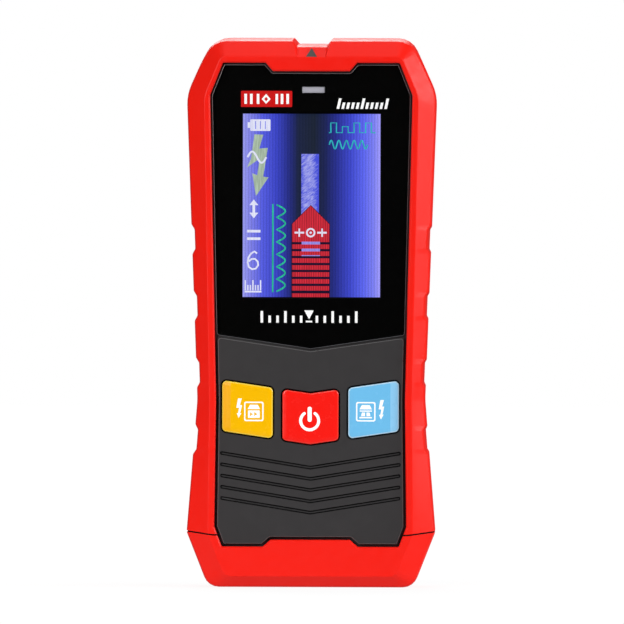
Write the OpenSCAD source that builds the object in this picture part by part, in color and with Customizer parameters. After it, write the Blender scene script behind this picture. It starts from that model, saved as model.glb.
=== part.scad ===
// Handheld wall scanner (stud finder) with a colour display, three keys and a 9 V block battery.
// Millimetres. +X is right seen from the front, the front faces -Y, +Z is up,
// and the origin is the middle of the foot.

/* [Body] */
// Height of the whole scanner
body_h = 146.6; // [145:0.2:149]
// Width between the corners of the shoulders
shoulder_w = 66.8; // [66:0.1:68]
// Width at the waist
waist_w = 60.8; // [60.4:0.1:62]
// Width between the corners of the base
base_w = 66.4; // [66:0.1:68]
// Thickness from the front rim to the rear felt
body_t = 27; // [27:0.1:29]
// Height of the waist above the foot
waist_z = 50; // [46:0.5:56]

/* [Bumper] */
// Thickness of the rubber around the housing
bumper_t = 2.9; // [2.7:0.1:3]
// Depth of the sloping front facet
facet_d = 4.1; // [3.6:0.1:4.6]
// Height of the front facet along the top
top_facet = 5; // [4.6:0.1:5.2]
// Depth of the finger recesses in the sides
grip_depth = 0.85; // [0.4:0.05:1]
// Length of the floor of a finger recess
grip_len = 5.2; // [3:0.1:7]
// Distance between finger recesses
grip_pitch = 17.8; // [16:0.1:18]
// Width of the marking notch in the top
notch_w = 10.4; // [8:0.1:12]
// Depth of the marking notch
notch_d = 1.55; // [1:0.05:1.7]
// Gap between the long bumper and its foot cap
parting_gap = 0.3; // [0.1:0.05:0.5]

/* [Housing] */
// Wall thickness of the housing shells
wall = 2; // [1.6:0.1:2]
// Step from the rim down to the deck and the lens
recess_d = 0.9; // [0.7:0.05:1]
// Slope of the chevron lines, rise over run
vee = 0.147; // [0.12:0.005:0.16]
// Number of chevron grooves below the keys
groove_count = 5; // [3:1:5]
// Distance between chevron grooves
groove_pitch = 3; // [2.4:0.1:3]
// Width of a chevron groove
groove_w = 0.65; // [0.4:0.05:0.9]

/* [Display] */
// Width of the lit area
screen_w = 36.7; // [34:0.1:37]
// Height of the lit area
screen_h = 48.9; // [46:0.1:50]
// Height of the middle of the lit area
screen_z = 101.85; // [101:0.1:102.5]
// Thickness of the front lens
lens_t = 1.3; // [1:0.05:1.4]

/* [Keys] */
// Height of a key
key_h = 13.6; // [12:0.1:14]
// Height of the middle of the power key
key_z = 45; // [44.6:0.1:45.6]
// Width of the power key
power_key_w = 15; // [13:0.1:16]
// Inner edge of an outer key, from the middle
side_key_in = 10.05; // [9.8:0.05:11]
// Outer edge of an outer key, from the middle
side_key_out = 23.6; // [22.5:0.05:23.6]
// Gap around a key
key_gap = 0.35; // [0.25:0.05:0.4]
// Travel of a key
key_travel = 0.5; // [0.3:0.05:0.5]

/* [Battery] */
// Length of the 9 V block without its terminals
battery_l = 46.4; // [45.5:0.1:46.4]
// Width of the 9 V block
battery_w = 26.5; // [25.5:0.1:26.5]
// Thickness of the 9 V block
battery_t = 17.5; // [16.5:0.1:17.5]

/* [Battery door] */
// Width of the battery door
door_w = 48.6; // [47:0.1:48.8]
// Radius of the hinge pins
pin_r = 1; // [0.9:0.05:1.1]
// Radial clearance around a hinge pin or a switch plunger
running_gap = 0.05; // [0.03:0.01:0.08]

/* [Screws] */
// Radius of the case screws
screw_r = 1.1; // [1:0.05:1.2]
// Radius of the case screw heads
screw_head_r = 2.3; // [2:0.05:2.4]

/* [Hidden] */
$fn = 48;

// Stations along Y, from the front rim to the rear felt
rim_y = -body_t / 2;
deck_y = rim_y + recess_d;
shoulder_y = rim_y + 2.5;
pocket_y = rim_y + 3.5;
plate_y = rim_y + 4.3;
seal_t = 0.2;
seat_y = deck_y + lens_t + seal_t;
felt_t = 0.5;
back_y = body_t / 2 - felt_t;
inner_back_y = back_y - 2;
split_y = 2;
edge_chamfer = 1.3;
back_chamfer = 0.8;

// The display stack and the main board, from front to back
panel_y = plate_y + seal_t;
backlight_y = panel_y + 1.4;
tray_y = backlight_y + 2;
board_y = tray_y + 0.4;
board_back_y = board_y + 1.6;

// Outlines: the right half from top to bottom, each corner as [x, z, radius]
outer_half = [
    [shoulder_w / 2 - 6.8, body_h, 5.7],
    [shoulder_w / 2, body_h - 15.2, 12.8],
    [waist_w / 2, waist_z, 20],
    [base_w / 2, 14.7, 2.5],
    [base_w / 2 - 5.8, 0, 4.2]];
crease_half = [
    [shoulder_w / 2 - 9.3, body_h - top_facet, 2],
    [shoulder_w / 2 - 4.85, body_h - 15.6, 8],
    [waist_w / 2 - 3.4, waist_z, 20],
    [base_w / 2 - 5.9, 14.3, 2],
    [base_w / 2 - 10.4, 2.8, 2.5]];
opening_half = [
    [10.2, body_h - 8.95, 0.3],
    [12.2, body_h - 6.7, 0.3],
    [shoulder_w / 2 - 9.8, body_h - 6.7, 0.6],
    [shoulder_w / 2 - 6.4, body_h - 15.3, 1.5],
    [waist_w / 2 - 5.2, waist_z, 20],
    [base_w / 2 - 7.6, 16.2, 0.6],
    [base_w / 2 - 9.6, 10.9, 0.6],
    [12.7, 10.9, 0.4],
    [10.6, 12.75, 0.4]];
core_half = [for (c = outer_half) c[1] < body_h ? c : c - [0, 1.2, 0]];
// The sides and the top draw in towards the back, and the foot stays flat
draft = 0.4;
drafted_half = [for (c = outer_half) c - [draft, c[1] < body_h ? 0 : draft, 0]];
lens_gap = 0.5;
deck_gap = 0.75;
lens_z = 63.6;
deck_z = 63;

// The two parts of the bumper meet on a line that drops towards the middle
parting_z = 14;
parting_rise = 0.13;
parting_x = 26;
far = 50;
facet_floor = 0.9;
arrow_pocket = 0.4;
arrow_t = 0.5;

// Keys, their switches and the board they sit on
cap_y = deck_y - 0.6;
flange_y = pocket_y + 0.05;
flange_t = 0.7;
switch_x = 16.8;
switch_size = 6;
switch_y = board_y - 3.1;
plunger_r = 1.7;
plunger_l = 1.65;

// The battery lies across the body with its terminals at +X
battery_x = -24.4;
battery_z = 7.2;
battery_y = inner_back_y - 1.4 - battery_t;
battery_mid_y = battery_y + battery_t / 2;
battery_mid_z = battery_z + battery_w / 2;
snap_x = battery_x + battery_l + 0.2;
snap_h = 22;
terminal_pitch = 12.7;
partition_z = battery_z + battery_w + 0.6;
partition_t = 1.1;

// The battery door turns about X on two stub pins
hinge_y = inner_back_y + 0.4;
hinge_z = 6.6;
knuckle_r = back_y - hinge_y;
knuckle_x = 19.9;
door_gap = 0.3;
door_top = partition_z - 0.6;
door_low = hinge_z + 2.5;
opening_low = door_low - 0.4;

// Screws: [x, z] of each boss on the right, mirrored to the left
case_bosses = [[shoulder_w / 2 - 10.4, body_h - 10.4], [24.6, 38]];
boss_r = 2.6;
board_posts = [[15.5, 135], [20.5, 66.5]];
board_screw_r = 0.8;

// The metal-sensing coil
coil_z = 108;
coil_r = 21;

deck_grey = [0.23, 0.23, 0.235];
bumper_red = [0.94, 0.13, 0.09];
lens_black = [0.02, 0.02, 0.02];
board_green = [0.08, 0.35, 0.2];
metal_grey = [0.75, 0.75, 0.77];

// ---- Outline functions ----
function unit(v) = v / norm(v);
function at(c, i) = c[(i + len(c)) % len(c)];
function xz(c) = [c[0], c[1]];
function flip(c) = [-c[0], c[1], c[2]];

// A closed clockwise loop from its right half
function both(half) =
    concat(half, [for (i = [len(half) - 1 : -1 : 0]) if (half[i][0] > 0) flip(half[i])]);

function inward(a, b) = let (d = unit(b - a)) [d[1], -d[0]];

// Moves every edge of a clockwise loop inwards by d
function inset(c, d) = [for (i = [0 : len(c) - 1])
    let (p = xz(at(c, i - 1)), v = xz(c[i]), q = xz(at(c, i + 1)))
    let (m = inward(p, v), n = inward(v, q), convex = cross(v - p, q - v) < 0)
    concat(v + d * (m + n) / (1 + m * n), [max(0.25, c[i][2] + (convex ? -d : d))])];

// Rounds every corner of a loop with the same number of steps
function rounded(c, steps = 5) = [for (i = [0 : len(c) - 1])
    let (v = xz(c[i]), a = unit(xz(at(c, i - 1)) - v), b = unit(xz(at(c, i + 1)) - v))
    let (half = acos(a * b) / 2, r = c[i][2], mid = v + unit(a + b) * r / sin(half))
    let (from = v + a * r / tan(half) - mid, to = v + b * r / tan(half) - mid)
    let (start = atan2(from[1], from[0]), sweep = atan2(cross(from, to), from * to))
    for (k = [0 : steps]) mid + r * [cos(start + sweep * k / steps), sin(start + sweep * k / steps)]];

function side_x(z) = z > waist_z
    ? waist_w / 2 + (shoulder_w - waist_w) / 2 * (z - waist_z) / (body_h - 15.2 - waist_z)
    : waist_w / 2 + (base_w - waist_w) / 2 * (waist_z - z) / (waist_z - 14.7);

outer = both(outer_half);
crease = both(crease_half);
opening = both(opening_half);
drafted = both(drafted_half);
core = inset(both(core_half), bumper_t);

// ---- Shared shapes ----
// Extrudes a shape drawn in X and Z from y0 to y1
module slab(y0, y1) {
    translate([0, y1, 0])
        rotate([90, 0, 0])
            linear_extrude(height = y1 - y0)
                children();
}

// Extrudes a shape drawn in Y and Z from x0 to x1
module bar(x0, x1) {
    translate([x0, 0, 0])
        rotate([90, 0, 90])
            linear_extrude(height = x1 - x0)
                children();
}

module block(low, high) {
    translate(low)
        cube(high - low);
}

module peg(x, z, r, y0, y1) {
    translate([x, y1, z])
        rotate([90, 0, 0])
            cylinder(r = r, h = y1 - y0);
}

module left_and_right() {
    children();
    mirror([1, 0, 0])
        children();
}

// Skins a stack of loops that have equal numbers of points. A loop whose halves mirror each
// other is closed by strips from side to side, and any other by a fan from its first point.
module stack(rings, ys, mirrored = true) {
    n = len(rings[0]);
    last = (len(rings) - 1) * n;
    points = [for (k = [0 : len(rings) - 1]) for (p = rings[k]) [p[0], ys[k], p[1]]];
    sides = [for (k = [0 : len(rings) - 2]) for (i = [0 : n - 1])
        let (a = k * n + i, b = k * n + (i + 1) % n)
        each [[a, a + n, b + n], [a, b + n, b]]];
    cap = mirrored
        ? [for (i = [0 : n / 2 - 2]) each [[i, i + 1, n - 2 - i], [i, n - 2 - i, n - 1 - i]]]
        : [for (i = [1 : n - 2]) [0, i, i + 1]];
    back = [for (t = cap) [t[2] + last, t[1] + last, t[0] + last]];
    polyhedron(points = points, faces = concat(cap, sides, back));
}

// Everything above, or below, a chevron line whose lowest point is at z
module above_chevron(z) {
    polygon([[0, z], [far, z + vee * far], [far, 2 * body_h], [-far, 2 * body_h], [-far, z + vee * far]]);
}

module below_chevron(z) {
    polygon([[0, z], [far, z + vee * far], [far, -far], [-far, -far], [-far, z + vee * far]]);
}

module loop(c) {
    polygon(rounded(c));
}

module front_block(end_y) {
    stack([rounded(inset(core, edge_chamfer)), rounded(core), rounded(core)],
        [shoulder_y, shoulder_y + edge_chamfer, end_y]);
}

module cavity(y0, y1, gap = 0) {
    slab(y0, y1)
        loop(inset(core, wall + gap));
}

// ---- Bumper ----
module grip_recesses() {
    ramp = 1.4;
    for (i = [0 : 3]) {
        z = 39.8 + i * grip_pitch;
        x = side_x(z) - grip_depth;
        slope = (side_x(z + 1) - side_x(z - 1)) / 2;
        reach = grip_len / 2;
        flare = ramp * (1 + 1 / grip_depth);
        slab(rim_y - 1, back_y + 1)
            polygon([[x - slope * reach, z - reach], [x + slope * reach, z + reach],
                [x + 1 + grip_depth, z + reach + flare], [x + 1 + grip_depth, z - reach - flare]]);
    }
}

// The marking notch: a trapezoid along the top, and a shallow floor down the front facet
module notch() {
    floor_w = notch_w - 2.5;
    slab(rim_y - 1, back_y + 1)
        polygon([[-floor_w / 2, body_h - notch_d], [floor_w / 2, body_h - notch_d],
            [notch_w / 2, body_h], [notch_w / 2, body_h + 1],
            [-notch_w / 2, body_h + 1], [-notch_w / 2, body_h]]);
    on_facet()
        linear_extrude(height = 3)
            polygon([[-3.75, 0], [3.75, 0], [4.6, 7], [-4.6, 7]]);
}

// A plane parallel to the top facet and a little behind it: +Y runs up the facet, +Z out of it
module on_facet() {
    translate([0, rim_y, body_h - top_facet])
        rotate([atan2(top_facet, facet_d), 0, 0])
            translate([0, 0, -facet_floor])
                children();
}

// The triangle that marks the middle, sunk into the notch
module arrow(t) {
    translate([0, 0, -arrow_pocket])
        linear_extrude(height = t)
            polygon([[-1.5, 0.5], [1.5, 0.5], [0, 3.6]]);
}

module bumper_blank() {
    difference() {
        stack([rounded(crease), rounded(outer), rounded(drafted), rounded(inset(outer, 2.2))],
            [rim_y, rim_y + facet_d, back_y - 4, back_y - back_chamfer]);
        front_block(back_y + 1);
        slab(rim_y - 1, shoulder_y + 1)
            loop(opening);
        left_and_right()
            grip_recesses();
    }
}

// The region above the parting line, moved up by d
module parting_region(d) {
    slab(rim_y - 1, back_y + 1)
        polygon([[-parting_x, parting_z + d], [parting_x, parting_z + d],
            [far, parting_z + parting_rise * (far - parting_x) + d], [far, body_h + 5], [-far, body_h + 5],
            [-far, parting_z + parting_rise * (far - parting_x) + d]]);
}

module bumper_upper() {
    color(bumper_red)
        difference() {
            intersection() {
                bumper_blank();
                parting_region(parting_gap / 2);
            }
            notch();
            on_facet()
                arrow(1);
        }
}

module bumper_lower() {
    color(bumper_red)
        difference() {
            bumper_blank();
            parting_region(-parting_gap / 2);
        }
}

module marker_arrow() {
    color([0.3, 0.3, 0.31])
        on_facet()
            arrow(arrow_t);
}

// ---- Housing shells ----
function side_key(grow) = [
    [side_key_in - grow, key_z + key_h / 2 + vee * (side_key_in - grow) + grow, 1.2 + grow],
    [side_key_out + grow, key_z + key_h / 2 + vee * (side_key_out + grow) + grow, 1.2 + grow],
    [side_key_out + grow, key_z - key_h / 2 + vee * (side_key_out + grow) - grow, 1.2 + grow],
    [side_key_in - grow, key_z - key_h / 2 + vee * (side_key_in - grow) - grow, 1.2 + grow]];

function power_key_half(grow) = let (x = power_key_w / 2 + grow) [
    [0, key_z + key_h / 2 + grow, 1],
    [x, key_z + key_h / 2 + vee * x + grow, 1.2 + grow],
    [x, key_z - key_h / 2 + vee * x - grow, 1.2 + grow],
    [0, key_z - key_h / 2 - grow, 1]];

module key_openings() {
    slab(deck_y - 1, plate_y)
        loop(both(power_key_half(key_gap)));
    left_and_right()
        slab(deck_y - 1, plate_y)
            loop(side_key(key_gap));
}

module grooves() {
    groove_x = 23.75;
    groove_rise = 3.85;
    first_z = 32.3;
    depth = 0.5;
    for (i = [0 : groove_count - 1]) {
        z = first_z - i * groove_pitch;
        end_z = z + groove_rise;
        slab(deck_y - 1, deck_y + depth)
            polygon([[-groove_x, end_z], [0, z], [groove_x, end_z],
                [groove_x, end_z - groove_w], [0, z - groove_w], [-groove_x, end_z - groove_w]]);
    }
}

module case_boss_bores(y0, y1, r) {
    left_and_right()
        for (b = case_bosses)
            peg(b[0], b[1], r, y0, y1);
}

module front_housing() {
    color(deck_grey)
        difference() {
            union() {
                difference() {
                    front_block(split_y);
                    cavity(plate_y, split_y + 1);
                    cavity(split_y - 1.5, split_y + 1, -0.95);
                }
                slab(seat_y, plate_y)
                    intersection() {
                        loop(inset(opening, deck_gap));
                        above_chevron(deck_z - 1);
                    }
                slab(deck_y, plate_y)
                    intersection() {
                        loop(inset(opening, deck_gap));
                        below_chevron(deck_z);
                    }
                case_boss_bores(plate_y - 0.5, split_y, boss_r);
                left_and_right()
                    for (p = board_posts)
                        peg(p[0], p[1], 2.2, plate_y - 0.5, board_y);
            }
            // Pocket behind the keys, for their flanges
            block([-25.5, pocket_y, 37.5], [25.5, plate_y + 0.01, 60]);
            key_openings();
            grooves();
            // Window for the lit area, and the slot for the indicator
            block([-screen_w / 2 - 0.7, deck_y - 1, screen_z - screen_h / 2 - 0.7],
                [screen_w / 2 + 0.7, plate_y + 1, screen_z + screen_h / 2 + 0.7]);
            block([-2.8, deck_y - 1, 131.7], [3.8, plate_y + 1, 133.7]);
            case_boss_bores(plate_y + 0.8, split_y + 1, screw_r + 0.02);
            left_and_right()
                for (p = board_posts)
                    peg(p[0], p[1], board_screw_r + 0.02, plate_y + 0.6, board_y + 1);
        }
}

// Blocks beside the door's knuckle, which carry its pins
module hinge_blocks() {
    intersection() {
        left_and_right()
            block([knuckle_x + door_gap, hinge_y - 1.6, 0], [far, back_y, opening_low]);
        slab(split_y, back_y)
            loop(inset(core, back_chamfer));
    }
}

// The lower edge is cut back, so that the door can turn
module door_opening() {
    half = door_w / 2 + door_gap;
    top = door_top + door_gap;
    bar(-half, half)
        polygon([[inner_back_y - 0.5, opening_low], [back_y - 0.5, opening_low],
            [back_y + 0.5, opening_low - 1], [back_y + 0.5, top], [inner_back_y - 0.5, top]]);
    block([-knuckle_x - door_gap, inner_back_y - 2.4, hinge_z - knuckle_r - 0.2],
        [knuckle_x + door_gap, back_y + 1, door_low]);
}

// The wall between the battery and the boards, with a gap for the battery's leads
module partition() {
    difference() {
        union() {
            block([-26.3, plate_y + 0.2, partition_z], [26.3, split_y + 1, partition_z + partition_t]);
            block([-27.6, split_y, partition_z], [27.6, back_y - 0.5, partition_z + partition_t]);
        }
        block([18.5, -4, partition_z - 1], [25.6, 0, partition_z + 3]);
    }
}

module rear_housing() {
    color(deck_grey)
        difference() {
            union() {
                difference() {
                    stack([rounded(core), rounded(core), rounded(inset(core, back_chamfer))],
                        [split_y, back_y - back_chamfer, back_y]);
                    cavity(split_y - 1, inner_back_y);
                }
                // Lip that enters the front shell
                difference() {
                    cavity(split_y - 1.4, split_y + 0.5, -0.9);
                    cavity(split_y - 2, split_y + 1);
                }
                case_boss_bores(split_y, back_y - 0.5, 3.2);
                partition();
                hinge_blocks();
            }
            door_opening();
            left_and_right()
                translate([knuckle_x, hinge_y, hinge_z])
                    rotate([0, 90, 0])
                        cylinder(r = pin_r + running_gap, h = 3.1);
            case_boss_bores(split_y - 3, split_y, boss_r + 0.1);
            case_boss_bores(split_y - 1, back_y + 1, screw_r + 0.3);
            case_boss_bores(back_y - 2.4, back_y + 1, screw_head_r + 0.2);
            // Recesses for the label and for a fingertip at the door's latch
            block([-17.2, back_y - 0.3, 44.8], [17.2, back_y + 1, 62.2]);
            block([-5, back_y - 1, door_top], [5, back_y + 1, door_top + 3.6]);
        }
}

// ---- Lens, display and indicator ----
module lens_outline(d) {
    intersection() {
        loop(inset(opening, lens_gap + d));
        above_chevron(lens_z + d);
    }
}

module screen_hole(margin) {
    square([screen_w + 2 * margin, screen_h + 2 * margin], center = true);
}

module display_lens() {
    color(lens_black)
        slab(deck_y, deck_y + lens_t)
            lens_outline(0);
}

module lens_gasket() {
    color([0.1, 0.1, 0.1])
        slab(deck_y + lens_t, seat_y)
            difference() {
                lens_outline(0.4);
                translate([0, screen_z])
                    screen_hole(1.2);
                translate([0.5, 132.7])
                    square([7, 2.4], center = true);
            }
}

module display_seal() {
    color([0.15, 0.15, 0.15])
        slab(plate_y, panel_y)
            translate([0, screen_z])
                difference() {
                    screen_hole(2.2);
                    screen_hole(0.9);
                }
}

module display_panel() {
    color([0.25, 0.3, 0.75])
        slab(panel_y, backlight_y)
            translate([0, screen_z - 1.3])
                square([42.6, 57.6], center = true);
}

module display_backlight() {
    color([0.92, 0.93, 0.95])
        slab(backlight_y, tray_y)
            translate([0, screen_z - 1.3])
                square([42, 57], center = true);
}

module display_frame() {
    color(metal_grey)
        difference() {
            slab(panel_y + 0.3, board_y)
                translate([0, screen_z - 1.3])
                    square([44.2, 59.2], center = true);
            slab(panel_y - 1, tray_y)
                translate([0, screen_z - 1.3])
                    square([42.8, 57.8], center = true);
            block([-8.5, panel_y - 1, 60], [8.5, backlight_y, 75]);
        }
}

// The flat cable from the foot of the panel to its connector
module display_flex() {
    y = panel_y + 0.6;
    low_y = board_y - 1;
    t = 0.25;
    color([0.85, 0.5, 0.15])
        bar(-7.5, 7.5)
            polygon([[y, 71.7], [y, 70.2], [low_y, 67.6], [low_y, 66.5],
                [low_y + t, 66.5], [low_y + t, 67.7], [y + t, 70.3], [y + t, 71.7]]);
}

module flex_connector() {
    color([0.9, 0.88, 0.8])
        block([-9, board_y - 1.6, 63.2], [9, board_y, 66.5]);
}

module indicator_light_pipe() {
    color([0.8, 0.8, 0.84])
        block([-2.5, seat_y, 131.9], [3.5, panel_y + 2, 133.5]);
}

module indicator_led() {
    color([0.95, 0.95, 0.85])
        block([-1.1, board_y - 1.3, 131.9], [2.1, board_y, 133.5]);
}

// ---- Boards and what is on them ----
module main_board() {
    half = 23.5;
    color(board_green)
        difference() {
            slab(board_y, board_back_y)
                polygon([[-half, 44], [-20.8, 41.6], [-20.8, 36.6], [20.8, 36.6], [20.8, 41.6], [half, 44],
                    [half, 131.4], [19, 133], [19, 138], [-19, 138], [-19, 133], [-half, 131.4]]);
            left_and_right()
                for (p = board_posts)
                    peg(p[0], p[1], 1, board_y - 1, board_back_y + 1);
        }
}

// Each chip: [x, z, width, height, thickness]
module board_chips() {
    chips = [[-6, 92, 10, 10, 1.2], [9, 86, 5, 6.2, 1.4], [-12, 58, 6, 5, 1.4], [4, 60, 3, 3, 1],
        [14, 104, 4, 5, 1.5], [-15, 108, 3.2, 5, 2], [15, 118, 3, 6, 1.2], [-3, 118, 5, 3.2, 1.1]];
    color([0.08, 0.08, 0.09])
        for (c = chips)
            translate([c[0] - c[2] / 2, board_back_y, c[1] - c[3] / 2])
                cube([c[2], c[4], c[3]]);
}

module screw(x, z, r, head_r, tip_y, head_y, head_t, slot) {
    difference() {
        union() {
            peg(x, z, r, tip_y, head_y + 0.1);
            peg(x, z, head_r, head_y, head_y + head_t);
        }
        for (turn = [0, 90])
            translate([x, head_y + head_t, z])
                rotate([0, turn, 0])
                    cube([slot * head_r, head_t, 0.22 * head_r], center = true);
    }
}

module board_screws() {
    color(metal_grey)
        left_and_right()
            for (p = board_posts)
                screw(p[0], p[1], board_screw_r, 1.8, plate_y + 1.4, board_back_y, 1.1, 1.3);
}

module case_screws() {
    color(metal_grey)
        left_and_right()
            for (b = case_bosses)
                screw(b[0], b[1], screw_r, screw_head_r, plate_y + 3, back_y - 2.4, 1.9, 1.3);
}

module buzzer() {
    color([0.06, 0.06, 0.06])
        difference() {
            peg(11, 50, 6, board_back_y, board_back_y + 5);
            peg(11, 50, 1.1, board_back_y + 4, board_back_y + 6);
        }
}

module key_switch(x, z) {
    half = switch_size / 2;
    color([0.12, 0.12, 0.12])
        difference() {
            block([x - half, switch_y, z - half], [x + half, board_y, z + half]);
            peg(x, z, plunger_r + running_gap, switch_y - 1, switch_y + plunger_l);
        }
}

module plunger(x, z) {
    color([0.93, 0.9, 0.82])
        peg(x, z, plunger_r, flange_y + flange_t, flange_y + flange_t + plunger_l);
}

side_switch_z = key_z + vee * switch_x;

module yellow_key_switch() {
    key_switch(-switch_x, side_switch_z);
}

module power_key_switch() {
    key_switch(0, key_z);
}

module blue_key_switch() {
    key_switch(switch_x, side_switch_z);
}

module sensor_board() {
    color(board_green)
        slab(inner_back_y - 1.2, inner_back_y)
            polygon([[-23.5, 68], [23.5, 68], [23.5, 129.5], [19, 134], [-19, 134], [-23.5, 129.5]]);
}

module sensor_plates() {
    y = inner_back_y - 1.2;
    color([0.85, 0.5, 0.25])
        for (x = [-20, -6, 8])
            block([x, y - 0.1, 74], [x + 12, y, 84]);
}

module coil_former() {
    y = inner_back_y - 1.2;
    color([0.9, 0.9, 0.88])
        translate([0, y, coil_z])
            rotate([90, 0, 0])
                rotate_extrude()
                    polygon([[coil_r - 4.2, 0], [coil_r, 0], [coil_r, 0.8], [coil_r - 3.2, 0.8],
                        [coil_r - 3.2, 3.4], [coil_r, 3.4], [coil_r, 4.2], [coil_r - 4.2, 4.2]]);
}

module coil_winding() {
    y = inner_back_y - 1.2;
    color([0.75, 0.35, 0.12])
        translate([0, y, coil_z])
            rotate([90, 0, 0])
                rotate_extrude()
                    translate([coil_r - 3.2, 0.8])
                        square([2.7, 2.6]);
}

module board_header() {
    color([0.05, 0.05, 0.05])
        block([-7, board_back_y, 69.3], [7, inner_back_y - 1.2, 71.9]);
}

module board_spacers() {
    color([0.85, 0.85, 0.8])
        left_and_right()
            peg(19, 71, 2, board_back_y, inner_back_y - 1.2);
}

// ---- Battery ----
// A rectangle in Y and Z with rounded corners
module rounded_tile(low, high, r) {
    polygon(rounded([[low[0], high[1], r], [high[0], high[1], r],
        [high[0], low[1], r], [low[0], low[1], r]]));
}

module battery() {
    color([0.1, 0.1, 0.12])
        bar(battery_x, battery_x + battery_l)
            rounded_tile([battery_y, battery_z], [battery_y + battery_t, battery_z + battery_w], 1.6);
}

module on_battery_end(side) {
    translate([battery_x + battery_l, battery_mid_y, battery_mid_z + side * terminal_pitch / 2])
        rotate([0, 90, 0])
            children();
}

module battery_terminals() {
    color(metal_grey) {
        on_battery_end(1)
            cylinder(r = 2.85, h = 3);
        on_battery_end(-1)
            difference() {
                cylinder(r = 4.1, h = 2.8);
                translate([0, 0, 0.6])
                    cylinder(r = 2.9, h = 3);
            }
    }
}

module battery_snap() {
    half = [5.6, snap_h / 2];
    mid = [battery_mid_y, battery_mid_z];
    color([0.07, 0.07, 0.07])
        difference() {
            bar(snap_x, snap_x + 3.5)
                rounded_tile(mid - half, mid + half, 3);
            for (side = [-1, 1])
                on_battery_end(side)
                    cylinder(r = 4.3, h = 3.15);
        }
}

// A round wire through a list of points
module wire(path, r) {
    for (i = [0 : len(path) - 2])
        hull() {
            translate(path[i])
                sphere(r = r, $fn = 10);
            translate(path[i + 1])
                sphere(r = r, $fn = 10);
        }
}

// Two leads from the snap, through the gap in the partition, to the foot of the main board
module battery_leads() {
    r = 0.55;
    start_z = battery_mid_z + snap_h / 2 + r;
    end_y = board_back_y + r;
    for (i = [0, 1]) {
        y = -1.2 - 1.5 * i;
        end_x = 13.5 - 2 * i;
        color(i == 0 ? [0.8, 0.1, 0.08] : [0.08, 0.08, 0.08])
            wire([[24, y, start_z], [23.6, y, 33.2], [22.2, y, 35], [20, y, 36.2],
                [end_x + 3.9, -2.4 - 0.5 * i, 37.4], [end_x + 1.5, end_y, 38.6], [end_x, end_y, 38.8]], r);
    }
}

module battery_pad() {
    color([0.2, 0.2, 0.2])
        block([-18, plate_y, 9.5], [18, battery_y, 31.5]);
}

// ---- Outside of the back ----
module felt_strips() {
    color([0.12, 0.12, 0.12])
        left_and_right()
            block([19, back_y, 68], [24, back_y + felt_t, 130]);
}

module rating_label() {
    color([0.75, 0.75, 0.76])
        block([-17, back_y - 0.3, 45], [17, back_y - 0.05, 62]);
}

module battery_door() {
    slot_x = 5.6;
    color(deck_grey)
        difference() {
            union() {
                block([-door_w / 2, inner_back_y, door_low], [door_w / 2, back_y, door_top]);
                block([-knuckle_x, inner_back_y, hinge_z], [knuckle_x, back_y, door_low + 0.5]);
                translate([-knuckle_x, hinge_y, hinge_z])
                    rotate([0, 90, 0])
                        cylinder(r = knuckle_r, h = 2 * knuckle_x);
                translate([-knuckle_x - 2.8, hinge_y, hinge_z])
                    rotate([0, 90, 0])
                        cylinder(r = pin_r, h = 2 * knuckle_x + 5.6);
                // Ribs that hold the battery, and the nib of the latch
                left_and_right()
                    block([11, inner_back_y - 1.1, 12], [12.2, inner_back_y + 0.5, 30]);
                block([-4, inner_back_y + 0.4, door_top - 0.5], [4, inner_back_y + 1, door_top + 0.15]);
                // Raised bars for the fingertip
                for (z = [door_top - 5.2 : 1.7 : door_top - 1.8])
                    block([-4.4, back_y - 0.2, z], [4.4, back_y + 0.3, z + 0.7]);
            }
            // Slots on both sides of the springy latch tongue
            left_and_right()
                block([slot_x, inner_back_y - 2, door_top - 7], [slot_x + 0.9, back_y + 1, door_top + 1]);
        }
}

module door_felt_pad() {
    color([0.12, 0.12, 0.12])
        block([-15, back_y, 12], [15, back_y + felt_t, 17]);
}

// ---- Keys ----
module key_cap(c, mirrored) {
    bevel = 0.5;
    stack([rounded(inset(c, bevel)), rounded(c), rounded(c)], [cap_y, cap_y + bevel, flange_y], mirrored);
}

module side_cap() {
    key_cap(side_key(0), false);
    slab(flange_y, flange_y + flange_t)
        loop(side_key(0.6));
}

module yellow_key() {
    color([0.96, 0.71, 0.15])
        mirror([1, 0, 0])
            side_cap();
}

module power_key() {
    color([0.97, 0.14, 0.1]) {
        key_cap(both(power_key_half(0)), false);
        slab(flange_y, flange_y + flange_t)
            loop(both(power_key_half(0.6)));
    }
}

module blue_key() {
    color([0.46, 0.76, 0.92])
        side_cap();
}

module yellow_plunger() {
    plunger(-switch_x, side_switch_z);
}

module power_plunger() {
    plunger(0, key_z);
}

module blue_plunger() {
    plunger(switch_x, side_switch_z);
}

front_housing();
rear_housing();
bumper_upper();
bumper_lower();
marker_arrow();
display_lens();
lens_gasket();
display_seal();
display_panel();
display_backlight();
display_frame();
display_flex();
flex_connector();
indicator_light_pipe();
indicator_led();
main_board();
board_chips();
board_screws();
buzzer();
yellow_key_switch();
power_key_switch();
blue_key_switch();
sensor_board();
sensor_plates();
coil_former();
coil_winding();
board_header();
board_spacers();
battery();
battery_terminals();
battery_snap();
battery_leads();
battery_pad();
case_screws();
felt_strips();
rating_label();
battery_door();
door_felt_pad();
yellow_key();
yellow_plunger();
power_key();
power_plunger();
blue_key();
blue_plunger();
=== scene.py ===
"""Handheld wall scanner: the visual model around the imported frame, with studio, light and camera."""

import math

import bmesh
import bpy
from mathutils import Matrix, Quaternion, Vector


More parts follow.
